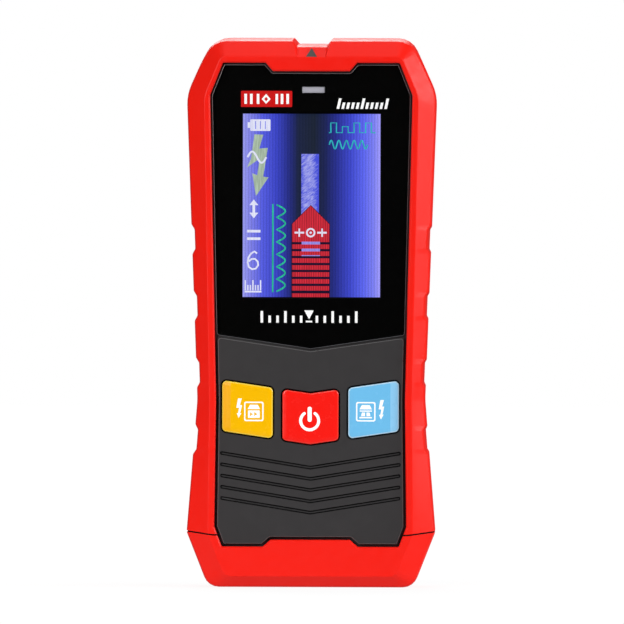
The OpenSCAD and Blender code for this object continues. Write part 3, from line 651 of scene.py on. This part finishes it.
def bumper(name, columns, low, high, slot, material, replaces=(), sunk=0.0):
    """The bumper between two heights from the parting line: the right half is cut, then mirrored.

    A sunk part stays that much below the bumper's surface.
    """
    start, z0, slope = PARTING

    def lean(sign):
        for v in bm.verts:
            v.co.z += sign * slope * max(0.0, v.co.x - start * MM)

    bm = bmesh.new()
    grid = [[bm.verts.new(p * MM) for p in column] for column in columns]
    n = len(grid[0])
    for a, b in zip(grid, grid[1:]):
        for k in range(n):
            bm.faces.new((a[k], a[(k + 1) % n], b[(k + 1) % n], b[k]))
    lean(-1)
    for height, side in ((low, 1), (high, -1)):
        if height is not None:
            cap(bm, sliced(bm, (0, 0, z0 + height), (0, 0, side), clear_inner=True))
    lean(1)
    for v in bm.verts:
        if abs(v.co.x) < 1e-7:
            v.co.x = 0
        if v.co.x > 31 * MM:
            v.co.x -= sunk * MM
        if v.co.y < -9 * MM:
            v.co.y += sunk * MM
    twin = bmesh.ops.duplicate(bm, geom=bm.verts[:] + bm.edges[:] + bm.faces[:])["geom"]
    for v in twin:
        if isinstance(v, bmesh.types.BMVert):
            v.co.x = -v.co.x
    bmesh.ops.reverse_faces(bm, faces=[f for f in twin if isinstance(f, bmesh.types.BMFace)])
    place(name, bm, "case", slot, material, replaces, 42)


columns = bumper_columns()
bumper("bumper_long", columns, GAP, None, "bumper", red, ["bumper_upper"])
bumper("bumper_foot", columns, None, -GAP, "bumper", red, ["bumper_lower"])
# A black sheet sunk into the parting gap between the halves: painted shade that darkens the gap
bumper("bumper_gap_painted_shade", columns, 0.02 - GAP, GAP - 0.02, "foam", painted_shade_black, sunk=0.28)
dressed("marker_arrow", marker, 0.05)


# ---- Deck, keys and grooves ----
KEY_Z, KEY_HALF, KEY_RADIUS, KEY_GAP = 45, 6.8, 1.2, 0.42


def side_key(grow):
    half, r = KEY_HALF + grow, KEY_RADIUS + grow
    x0, x1 = 10.05 - grow, 23.6 + grow
    return [(x, KEY_Z + VEE * x + up, r) for x, up in ((x0, half), (x1, half), (x1, -half), (x0, -half))]


def power_key(grow):
    x, half, r = 7.5 + grow, KEY_HALF + grow, KEY_RADIUS + grow
    return both([(0, KEY_Z + half, 1), (x, KEY_Z + VEE * x + half, r),
                 (x, KEY_Z + VEE * x - half, r), (0, KEY_Z - half, 1)])


def groove(i):
    """The groove number i from the top. The ends are not quite in line, so that the plate's faces close."""
    x, z, rise, w, r = 23.78 - 0.015 * i, 32.15 - 3 * i, 3.85, 0.36, 0.12
    return [(-x, z + rise, r), (0, z, 1.2), (x, z + rise, r),
            (x, z + rise - w, r), (0, z - w, 1.2), (-x, z + rise - w, r)]


def deck_top():
    """The deck plate with a painted highlight on its edge, and with painted shade on the walls of its key holes and
    grooves.
    """
    outline = both(chevron(inset(both(OPENING), 0.75)[:9], DECK_VEE, False))
    key_rows, groove_rows = edge_profile(DECK, SEAM, 0.08, 0, -1), [(-0.34, DECK), (-0.3, DECK + 0.05), (0, SEAM)]
    # The plate's rounded front edge takes the painted highlight
    lofts = [(outline, edge_profile(DECK, SEAM, 0.2, 0), (1, 1, 1))]
    # Key holes and grooves: the bevel bands stay grey and the wall bands take painted shade
    lofts += [(hole, key_rows, (0, 0, 2, 2)) for hole in (
        side_key(KEY_GAP), mirror(side_key(KEY_GAP)), power_key(KEY_GAP))]
    lofts += [(groove(i), groove_rows, (0, 2)) for i in range(5)]
    bm = bmesh.new()
    filled(bm, lofts)
    place("deck_top", bm, "case", "housing", [grey, grey_edge_painted_highlight, painted_shade_black])


deck_top()

# The CAD front shell, cut level behind the deck plate
shell = cad_copy("front_housing")
cap(shell, sliced(shell, (0, SEAM, 0), (0, 1, 0), clear_inner=True))
place("front_shell", shell, "case", "housing", grey, ["front_housing"], 25)


def rear_shell(radius=0.2, steps=3):
    """The CAD rear shell with its back edges rounded: cut off below them and built up again in rings."""
    bm = cad_copy("rear_housing")
    following = {}
    for edge in sliced(bm, (0, BACK - radius, 0), (0, 1, 0), clear_outer=True):
        if edge.is_boundary:
            corner = edge.link_loops[0]
            following[corner.vert] = corner.link_loop_next.vert
    ends = []
    while following:
        ring = [next(iter(following))]
        while ring[-1] in following:
            ring.append(following.pop(ring[-1]))
        ring.pop()
        points = [Vector((v.co.x, v.co.z)) for v in ring]
        moves = []
        for i, v in enumerate(points):
            a, b = unit(v - points[i - 1]), unit(points[(i + 1) % len(points)] - v)
            m, n = Vector((-a.y, a.x)), Vector((-b.y, b.x))
            moves.append((m + n) / (1 + m.dot(n)))
        for k in range(1, steps + 1):
            turn = math.pi / 2 * k / steps
            y = (BACK - radius + radius * math.sin(turn)) * MM
            inward = radius * MM * (1 - math.cos(turn))
            higher = [bm.verts.new((p.x + d.x * inward, y, p.y + d.y * inward)) for p, d in zip(points, moves)]
            for i in range(len(ring)):
                j = (i + 1) % len(ring)
                bm.faces.new((ring[j], ring[i], higher[i], higher[j]))
            ring = higher
        ends += [bm.edges.get((ring[i - 1], ring[i])) for i in range(len(ring))]
    cap(bm, ends)
    place("rear_shell", bm, "case", "housing", grey, ["rear_housing"])


rear_shell()

KEY_CREASE = 21.3  # where a side key starts to fall away
KEY_FALL = 0.2
KEY_FOOT = -12.3  # everything in front of this is the cap
PRINT_FRONT, PRINT_BACK = -13.12, -13.06


def key(name, loop, slot, materials, body, side=0):
    """A key cap with a bevelled edge on its flange. A side key falls away towards its outer edge.

    The materials are those of the face, the edge (a painted highlight), the flange (painted shade) and the part that
    falls away (a darker copy, painted shade, on the yellow key; a lighter copy, painted light, on the blue key).
    """
    rows = [(-0.6, FLANGE_BACK), (-0.6, FLANGE_FRONT), (0, FLANGE_FRONT), (0, -12.6), (0.05, -12.77),
            (0.16, -12.88), (0.32, -12.94), (0.5, -12.97), (1.0, -13.07), (1.12, -13.085), (1.3, -13.09)]
    bm = bmesh.new()
    # The flange's two bands take painted shade, and the three bevel bands next to the face take a painted highlight
    filled(bm, [(loop, rows, (2, 2, 0, 1, 1, 1))], 6)
    if side:
        sliced(bm, (side * KEY_CREASE, 0, 0), (1, 0, 0))
        for v in bm.verts:
            if v.co.y < KEY_FOOT * MM:
                v.co.y += KEY_FALL * max(0.0, side * v.co.x - KEY_CREASE * MM)
        # Faces beyond the crease take the side colour: painted shade on the yellow key, painted light on the blue key
        for face in bm.faces:
            beyond = all(side * v.co.x > (KEY_CREASE - 0.001) * MM and v.co.y < KEY_FOOT * MM for v in face.verts)
            if beyond and not face.material_index:
                face.material_index = 3
    mesh = place(name, bm, body, slot, materials, [body], 38).data
    for edge in mesh.edges:
        if all(abs(side * mesh.vertices[k].co.x - KEY_CREASE * MM) < 1e-6 for k in edge.vertices):
            edge.use_edge_sharp = True


key("yellow_key_cap", mirror(side_key(0)), "key_yellow", [yellow, yellow_painted_highlight, painted_shade_black, yellow_side_painted_shade],
    "yellow_key", -1)
key("power_key_cap", power_key(0), "key_red", [key_red, red_painted_highlight, painted_shade_black], "power_key")
key("blue_key_cap", side_key(0), "key_blue", [blue, blue_painted_highlight, painted_shade_black, blue_side_painted_light], "blue_key", 1)


def bolt(x, z, w, h):
    """A lightning bolt whose tip is an arrow, in a box w wide and h high from (x, z)."""
    shape = [(0.42, 1.0), (0.95, 1.0), (0.66, 0.66), (0.98, 0.66), (0.72, 0.24), (0.9, 0.26), (0.5, 0.0),
             (0.22, 0.24), (0.42, 0.24), (0.56, 0.52), (0.16, 0.52)]
    return pointed((x + w * u, z + h * v) for u, v in shape)


def pictogram(x, z, s, split):
    """A frame around a house-like block: a roof and a wall, with a probe or a pair of studs in it."""
    u, line = s / 5.0, 0.36

    def outline(*points):
        return pointed((x + a * u, z + b * u) for a, b in points)

    def bar(x0, z0, x1, z1):
        return box_loop(x + x0 * u, z + z0 * u, x + x1 * u, z + z1 * u)

    shapes = [(box_loop(x, z, x + s, z + s, 0.5), [box_loop(x + line, z + line, x + s - line, z + s - line, 0.3)]),
              (outline((1.5, 4.2), (3.5, 4.2), (4.1, 3.1), (0.9, 3.1)), [])]
    if split:
        return shapes + [(outline((1.5, 2.3), (2.3, 2.3), (2.3, 1.35), (1.3, 1.35)), []),
                         (outline((2.7, 2.3), (3.5, 2.3), (3.7, 1.35), (2.7, 1.35)), []),
                         (bar(0.95, 2.52, 4.05, 2.82), []), (bar(0.9, 0.8, 4.1, 1.15), [])]
    return shapes + [(bar(1.0, 0.85, 4.0, 2.75), [outline((left, 2.3), (left + 0.8, 1.8), (left, 1.3))
                                                  for left in (1.5, 2.6)])]


def power_symbol(x, z, r=2.8, w=0.8):
    """A ring that is open at the top, and a bar with round ends."""
    n, gap = 40, math.radians(36)
    angles = [gap + (2 * math.pi - 2 * gap) * k / n for k in range(n + 1)]

    def end(a, turn):
        cx, cz = polar(x, z, r - w / 2, a)[:2]
        return [polar(cx, cz, w / 2, a + turn * t) for t in (math.pi / 4, math.pi / 2, 3 * math.pi / 4)]

    ring = [polar(x, z, r, a) for a in angles] + end(angles[-1], 1)
    ring += [polar(x, z, r - w, a) for a in reversed(angles)] + end(angles[0], -1)[::-1]
    return [(ring, [])] + bars((x - 0.56, z - 0.3, x + 0.56, z + 3.75, 0.55))


for body, shapes in (("yellow_key", [(bolt(-20.1, 45.2, 1.9, 5.2), [])] + pictogram(-17.7, 44.35, 5.2, False)),
                     ("power_key", power_symbol(-0.2, 44.5)),
                     ("blue_key", [(bolt(17.9, 44.9, 1.8, 5.2), [])] + pictogram(12.15, 44.35, 5.2, True))):
    plates(body + "_print", shapes, PRINT_FRONT, PRINT_BACK, body, "label", ink_with_painted_glow)

# ---- Lens with its printed back ----
lens_loop = both(chevron(inset(both(OPENING), 0.5)[:9], LENS_VEE, True))
GLASS_BACK, MARK_LAYER, PRINT_LAYER = -11.47, -11.44, -11.4
# The glass's front bevel bands take the grey painted highlight
plates("lens_glass", [(lens_loop, [])], DECK, GLASS_BACK, "case", "lens", [clear, lens_edge_painted_highlight], front=0.16, steps=6,
       replaces=["display_lens"], paint=(1, 1, 1))
window = box_loop(-18.7, 77.0, 18.7, 126.7)
pipe_window = box_loop(-2.6, 131.9, 3.6, 133.55, 0.15)
plates("lens_print", [(lens_loop, [window, pipe_window])], PRINT_LAYER, LENS_BACK, "case", "lens", black)


def slanted(x, z, h, w, lean=0.22):
    return pointed([(x + lean * h, z + h), (x + lean * h + w, z + h), (x + w, z), (x, z)])


plates("lens_badge", bars((-18.8, 128.1, -5.15, 132.4, 0.25)), MARK_LAYER + 0.02, PRINT_LAYER, "case", "label",
       badge_red)
badge_marks = bars(*((x, 128.9, x + 0.7, 131.6) for x in (-17.9, -16.4, -14.6, -9.6, -8.2, -6.7)))
badge_marks += [(pointed([(-13.3, 130.2), (-12.1, 131.6), (-10.9, 130.2), (-12.1, 128.9)]),
                 [pointed([(-12.6, 130.2), (-12.1, 130.8), (-11.6, 130.2), (-12.1, 129.6)])])]
plates("lens_badge_marks", badge_marks, MARK_LAYER, MARK_LAYER + 0.02, "case", "label", ink_with_painted_glow)
ticks = [(slanted(6.7 + 1.27 * i, 127.65, 1.7 if i % 5 else 2.8, 0.72), []) for i in range(11)]
scale = bars(*((2.1 * i - 0.84, 70.6, 2.1 * i - 0.16, 72.5 if i % 3 else 73.7) for i in range(-6, 7) if i))
scale += [(pointed([(-1.75, 73.9), (0.75, 73.9), (-0.5, 71.5)]), [])] + bars((-1.35, 70.7, 0.35, 71.15))
plates("lens_marks", ticks + scale, MARK_LAYER, PRINT_LAYER, "case", "label", ink_with_painted_glow)

# ---- Display ----
dressed("display_panel", display("display_blue"), 0.08)
ART_FRONT, ART_BACK = -9.06, -9.02
white_light = lit("lcd_white", rgb(226, 228, 255), 1.0, 0.1)
green_light = lit("lcd_green", rgb(172, 192, 170), 0.95, 0.22)
teal_light = lit("lcd_teal", rgb(44, 178, 186), 1.0, 0.3)
sea_light = lit("lcd_sea", rgb(40, 188, 140), 1.0, 0.25)
red_light = lit("lcd_red", rgb(194, 38, 54), 1.0, 0.14, comb=0.3)
dark_light = lit("lcd_dark", rgb(26, 8, 40), 1.0, 0.2)


def bar_light(name):
    """The pale column: slanting light streaks on blue, brightest along its middle at x -0.9."""
    m = Nodes(name)
    streak = m.noise(0.8, 2, stretch=(2.6, 1, 0.7), turn=0.9)
    off_middle = m.math("ABSOLUTE", m.math("ADD", m.axes()[0], 0.9 * MM))
    middle = m.math("MULTIPLY", m.remap(off_middle, 1.0, 0.0, 0.9 * MM, 3.2 * MM), 0.42)
    glow = m.math("ADD", middle, m.math("MULTIPLY", m.remap(streak, 0, 1, 0.3, 0.75), 0.42), True)
    m.set(Base_Color=rgb(8, 8, 10), Roughness=0.4, Specular_IOR_Level=0.1, Emission_Strength=1.0,
          Emission_Color=m.mix(m.remap(glow, 0, 1, 0.35, 0.95), rgb(70, 80, 220), rgb(196, 198, 248)))
    return m.mat


def screen_shape(name, shapes, material, layer=0.0):
    plates(name, shapes, ART_FRONT - layer, ART_BACK - layer, "case", "lcd", material)


battery_icon = bars((-16.4, 121.7, -11.0, 124.8, 0.25), (-17.1, 122.5, -16.45, 124.0))
screen_shape("lcd_battery", battery_icon, white_light)
cells = bars(*((x, 122.2, x + 0.22, 124.3) for x in (-15.1, -13.8, -12.5)))
screen_shape("lcd_battery_cells", cells, lit("lcd_blue", rgb(120, 128, 236), 1.0, 0.1), 0.05)
strike = [(-15.3, 120.8), (-12.9, 120.7), (-14.0, 117.0), (-11.7, 117.2), (-12.9, 109.5), (-11.5, 109.3),
          (-14.85, 104.3), (-15.84, 110.4), (-14.5, 109.9), (-13.9, 114.3), (-17.3, 111.9), (-16.2, 114.2)]
screen_shape("lcd_bolt", [(pointed(strike), [])], green_light)


def ribbon(points, w):
    """A line of constant width through the points."""
    left, right = [], []
    for i, p in enumerate(points):
        a, b = Vector(points[max(0, i - 1)]), Vector(points[min(len(points) - 1, i + 1)])
        d = unit(b - a)
        n = Vector((d.y, -d.x)) * w / 2
        right.append((p[0] + n.x, p[1] + n.y, 0))
        left.append((p[0] - n.x, p[1] - n.y, 0))
    return left + right[::-1]


wave = [(-17.1 + 5.0 * k / 24, 114.7 + 1.5 * math.sin(2 * math.pi * k / 24)) for k in range(25)]
depth_arrow = pointed([(-15.4, 103.4), (-14.2, 101.9), (-15.05, 101.9), (-15.05, 99.9), (-14.2, 99.9), (-15.4, 98.4),
                       (-16.6, 99.9), (-15.75, 99.9), (-15.75, 101.9), (-16.6, 101.9)])
equals = bars((-17.2, 94.6, -13.6, 95.3), (-17.2, 92.6, -13.6, 93.3))
six = [(-14.5, 89.0), (-15.2, 89.55), (-16.1, 89.0), (-16.8, 87.9), (-17.0, 86.6), (-16.7, 85.4), (-15.8, 84.8),
       (-14.8, 85.0), (-14.2, 85.9), (-14.35, 86.9), (-15.1, 87.6), (-16.0, 87.5), (-16.7, 86.9)]
rule = bars((-17.8, 78.6, -13.3, 79.05),
            *((-17.8 + 0.68 * k, 79.15, -17.44 + 0.68 * k, 80.6 if k % 3 else 81.9) for k in range(7)))
column = [(ribbon(wave, 0.5), []), (depth_arrow, [])] + equals + [(ribbon(six, 0.48), [])] + rule
screen_shape("lcd_column", column, white_light, 0.05)

# A coil, and a pulse train over a sine: what the sensor feels
coil = [(-9.3 + 2.3 * abs(math.sin(math.pi * k / 10)), 78.9 + 0.33 * k) for k in range(71)]
screen_shape("lcd_coil", [(ribbon(coil, 0.42), [])] + bars((-10.5, 78.7, -10.1, 102.2)), sea_light)
pulses = [(4.6, 121.3)]
for i, top in enumerate((123.9, 122.9, 123.9, 123.9)):
    x = 5.1 + 3.1 * i
    pulses += [(x, 121.3), (x, top), (x + 1.5, top), (x + 1.5, 121.3)]
pulses.append((17.0, 121.3))
sine = [(4.7 + 10.2 * k / 60, 118.1 + 1.15 * math.sin(2 * math.pi * k / 12)) for k in range(61)]
screen_shape("lcd_signal", [(ribbon(pulses, 0.36), []), (ribbon(sine, 0.36), [])], teal_light)
screen_shape("lcd_bar", bars((-2.75, 96.0, 1.98, 115.6)), bar_light("lcd_bar"))
house = [(-0.2, 101.8), (4.75, 96.9), (4.75, 92.1), (-5.15, 92.1), (-5.15, 96.9)]
stripes = bars(*((-5.15, 90.25 - 1.85 * i, 4.75, 91.47 - 1.85 * i) for i in range(7)), (-5.15, SCREEN_LOW, 4.75, 78.4))
around_house = [(-0.2, 102.0), (4.95, 96.9), (4.95, SCREEN_LOW), (-5.35, SCREEN_LOW), (-5.35, 96.9)]
screen_shape("lcd_shadow", [(pointed(around_house), [])], dark_light, 0.02)
screen_shape("lcd_house", [(pointed(house), [])] + stripes, red_light, 0.05)
target = [(circle(-0.2, 94.6, 1.25), [circle(-0.2, 94.6, 0.8)]), (circle(-0.2, 94.6, 0.32, 16), [])]
target += bars(*((x0, 94.35, x1, 94.85) for x0, x1 in ((-4.5, -3.5), (-3.0, -1.95), (1.55, 2.6), (3.1, 4.1))))
target += bars(*((x, 93.5, x + 0.4, 95.7) for x in (-3.45, 2.65)))
screen_shape("lcd_target", target, white_light, 0.1)
small_bars = bars(*((-2.6, z, 2.3, z + h) for z, h in ((91.45, 0.75), (89.6, 0.75), (88.35, 0.25))))
screen_shape("lcd_small_bars", small_bars, lit("lcd_pale", rgb(150, 140, 226), 1.0, 0.15), 0.1)

# ---- The inside and the back ----
for node, material, width in [
        ("lens_gasket", foam, 0), ("display_seal", foam, 0), ("display_backlight", diffuser, 0.1),
        ("display_frame", steel, 0.1), ("display_flex", film, 0), ("flex_connector", ivory, 0.1),
        ("indicator_light_pipe", pipe, 0.06), ("indicator_led", led, 0.08), ("main_board", board, 0.05),
        ("board_chips", chip, 0.1), ("board_screws", steel, 0.06), ("buzzer", chip, 0.2),
        ("yellow_key_switch", chip, 0.12), ("power_key_switch", chip, 0.12), ("blue_key_switch", chip, 0.12),
        ("sensor_board", board, 0.05), ("sensor_plates", copper, 0), ("coil_former", ivory, 0.1),
        ("coil_winding", copper, 0.1), ("board_header", chip, 0.1), ("board_spacers", ivory, 0.1),
        ("battery", wrapper, 0.3), ("battery_terminals", steel, 0.15), ("battery_snap", vinyl, 0.3),
        ("battery_leads", leads, 0), ("battery_pad", foam, 0.2), ("case_screws", dark_steel, 0.08),
        ("rating_label", silver, 0.04), ("yellow_plunger", ivory, 0.1), ("power_plunger", ivory, 0.1),
        ("blue_plunger", ivory, 0.1), ("battery_door", grey, 0.16)]:
    dressed(node, material, width)

for name, x0, z0, x1, z1, body, node in [
        ("felt_strip_left", -24, 68, -19, 130, "case", "felt_strips"),
        ("felt_strip_right", 19, 68, 24, 130, "case", "felt_strips"),
        ("felt_door_pad", -15, 12, 15, 17, "door", "door_felt_pad")]:
    plates(name, [(box_loop(x0, z0, x1, z1, 0.8), [])], BACK, FELT_BACK, body, "felt", felt, back=0.22,
           replaces=[node])


def plus(x, z, arm, half):
    """A plus sign around (x, z)."""
    a, h = arm, half
    return pointed((x + u, z + v) for u, v in ((-h, a), (-h, h), (-a, h), (-a, -h), (-h, -h), (-h, -a),
                                               (h, -a), (h, -h), (a, -h), (a, h), (h, h), (h, a)))


# A frame, a battery symbol with its two poles, and lines in the place of words
label_art = [ring_box(-16.2, 45.8, 16.2, 61.2, 0.22), ring_box(3.4, 50.3, 13.6, 58.4, 0.3), (plus(11, 52, 1, 0.15), [])]
label_art += bars((13.75, 52.0, 14.6, 53.5), (13.75, 55.2, 14.6, 56.7), (10.0, 55.85, 12.0, 56.15),
                  (-8.0, 55.4, -3.6, 55.8), *((-8.0 + 1.6 * k, 54.2, -6.8 + 1.6 * k, 54.6) for k in range(3)),
                  *((-13.4, 47.5 + 1.7 * k, -0.6 - 2.2 * k, 47.75 + 1.7 * k) for k in range(3)))
plates("label_print", label_art, LABEL_BACK, LABEL_BACK + 0.02, "case", "label", label_ink)

# The battery's printed face, seen with the door open
BATTERY_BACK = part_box("battery")[1].y / MM
battery_art = bars((6.9, 7.6, 7.7, 33.3), (-14.0, 19.9, -8.0, 21.0), (11.2, 27.6, 16.2, 28.6))
battery_art += [(plus(13.7, 12.7, 2.5, 0.5), []), ring_box(-20.0, 12.0, -1.0, 29.0, 0.5, 2.0)]
plates("battery_print", battery_art, BATTERY_BACK - 0.02, BATTERY_BACK + 0.02, "case", "label", ink_with_painted_glow)


# ---- Studio ----
def floor():
    """A round pale floor that fades to white away from the object."""
    m = Nodes("studio_floor")
    away = m.add("ShaderNodeVectorMath", operation="LENGTH", Vector=m.place).outputs["Value"]
    diffuse = m.add("ShaderNodeBsdfDiffuse", Color=m.mix(m.noise(30), (0.9, 0.9, 0.9, 1), (0.93, 0.93, 0.93, 1)))
    path = m.add("ShaderNodeLightPath")
    bounce = m.math("MULTIPLY", m.remap(away, 0.8, 0.0, 0.15, 0.6), path.outputs["Is Diffuse Ray"])
    mirrored = m.math("MULTIPLY", path.outputs["Is Glossy Ray"], 0.05)
    seen = m.math("MULTIPLY", path.outputs["Is Camera Ray"], 1.02)
    glow = m.add("ShaderNodeEmission", Strength=m.math("ADD", m.math("ADD", seen, mirrored), bounce))
    m.surface(m.remap(away, 0.86, 1.0, 0.05, 0.16), diffuse, glow)
    bm = bmesh.new()
    bmesh.ops.create_circle(bm, cap_ends=True, segments=96, radius=2.5)
    mesh = bpy.data.meshes.new("studio_floor")
    bm.to_mesh(mesh)
    bm.free()
    mesh.materials.append(m.mat)
    obj = bpy.data.objects.new("studio_floor", mesh)
    scene.collection.objects.link(obj)


floor()


def softbox(name, azimuth, elevation, size, power):
    """A square white area light, 0.9 m from the middle of the object and aimed at it."""
    lamp = bpy.data.lights.new(name, "AREA")
    lamp.size, lamp.energy = size, power
    obj = bpy.data.objects.new(name, lamp)
    a, e = math.radians(azimuth), math.radians(elevation)
    back = Vector((math.sin(a) * math.cos(e), -math.cos(a) * math.cos(e), math.sin(e)))
    obj.location = Vector((0, 0, 0.073)) + back * 0.9
    obj.rotation_euler = (-back).to_track_quat("-Z", "Y").to_euler()
    scene.collection.objects.link(obj)


softbox("key_light", 42, 28, 0.4, 2.0)
softbox("left_light", -35, 16, 0.45, 4.4)
softbox("brow_light", -10, 50, 0.3, 0.8)
softbox("right_light", 86, 18, 0.5, 5.8)
softbox("top_light", 180, 75, 0.5, 1.5)
softbox("rear_light", 190, 38, 0.6, 4.4)

# The camera sees white. Other rays meet a faint glow, which ends straight in front, so that the lens stays black
world = bpy.data.worlds.new("studio")
scene.world = world
world.use_nodes = True
nodes, links = world.node_tree.nodes, world.node_tree.links
glow = nodes["Background"]
around, split, front, path, white, mixed = (nodes.new("ShaderNode" + kind) for kind in (
    "TexCoord", "SeparateXYZ", "MapRange", "LightPath", "Background", "MixShader"))
for socket, value in (("From Min", -0.98), ("From Max", -0.6), ("To Min", 0.0), ("To Max", 0.07)):
    front.inputs[socket].default_value = value
for source in (glow, white):
    source.inputs["Color"].default_value = (1, 1, 1, 1)
for source, target in (
        (around.outputs["Generated"], split.inputs[0]), (split.outputs[1], front.inputs["Value"]),
        (front.outputs[0], glow.inputs["Strength"]), (path.outputs["Is Camera Ray"], mixed.inputs[0]),
        (glow.outputs[0], mixed.inputs[1]), (white.outputs[0], mixed.inputs[2]),
        (mixed.outputs[0], nodes["World Output"].inputs["Surface"])):
    links.new(source, target)

scene.view_settings.view_transform = "Standard"

# ---- Camera: at the photograph's angle. FRAME_W is the width that it takes in at the object, in metres ----
AZIMUTH, ELEVATION, ROLL = math.radians(2.0), math.radians(0.8), math.radians(0.15)
DISTANCE, FRAME_W, SENSOR = 5.0, 0.1663, 36
camera = bpy.data.objects.new("camera", bpy.data.cameras.new("camera"))
scene.collection.objects.link(camera)
scene.camera = camera
towards = Vector((math.sin(AZIMUTH) * math.cos(ELEVATION), -math.cos(AZIMUTH) * math.cos(ELEVATION),
                  math.sin(ELEVATION)))
camera.location = Vector((0.00036, RIM * MM, 0.0735)) + towards * DISTANCE
upright = (-towards).to_track_quat("-Z", "Y")
camera.rotation_euler = (upright @ Quaternion((0, 0, 1), ROLL)).to_euler()
camera.data.sensor_width = SENSOR
camera.data.lens = SENSOR * DISTANCE / FRAME_W
camera.data.clip_start, camera.data.clip_end = 0.01, 20
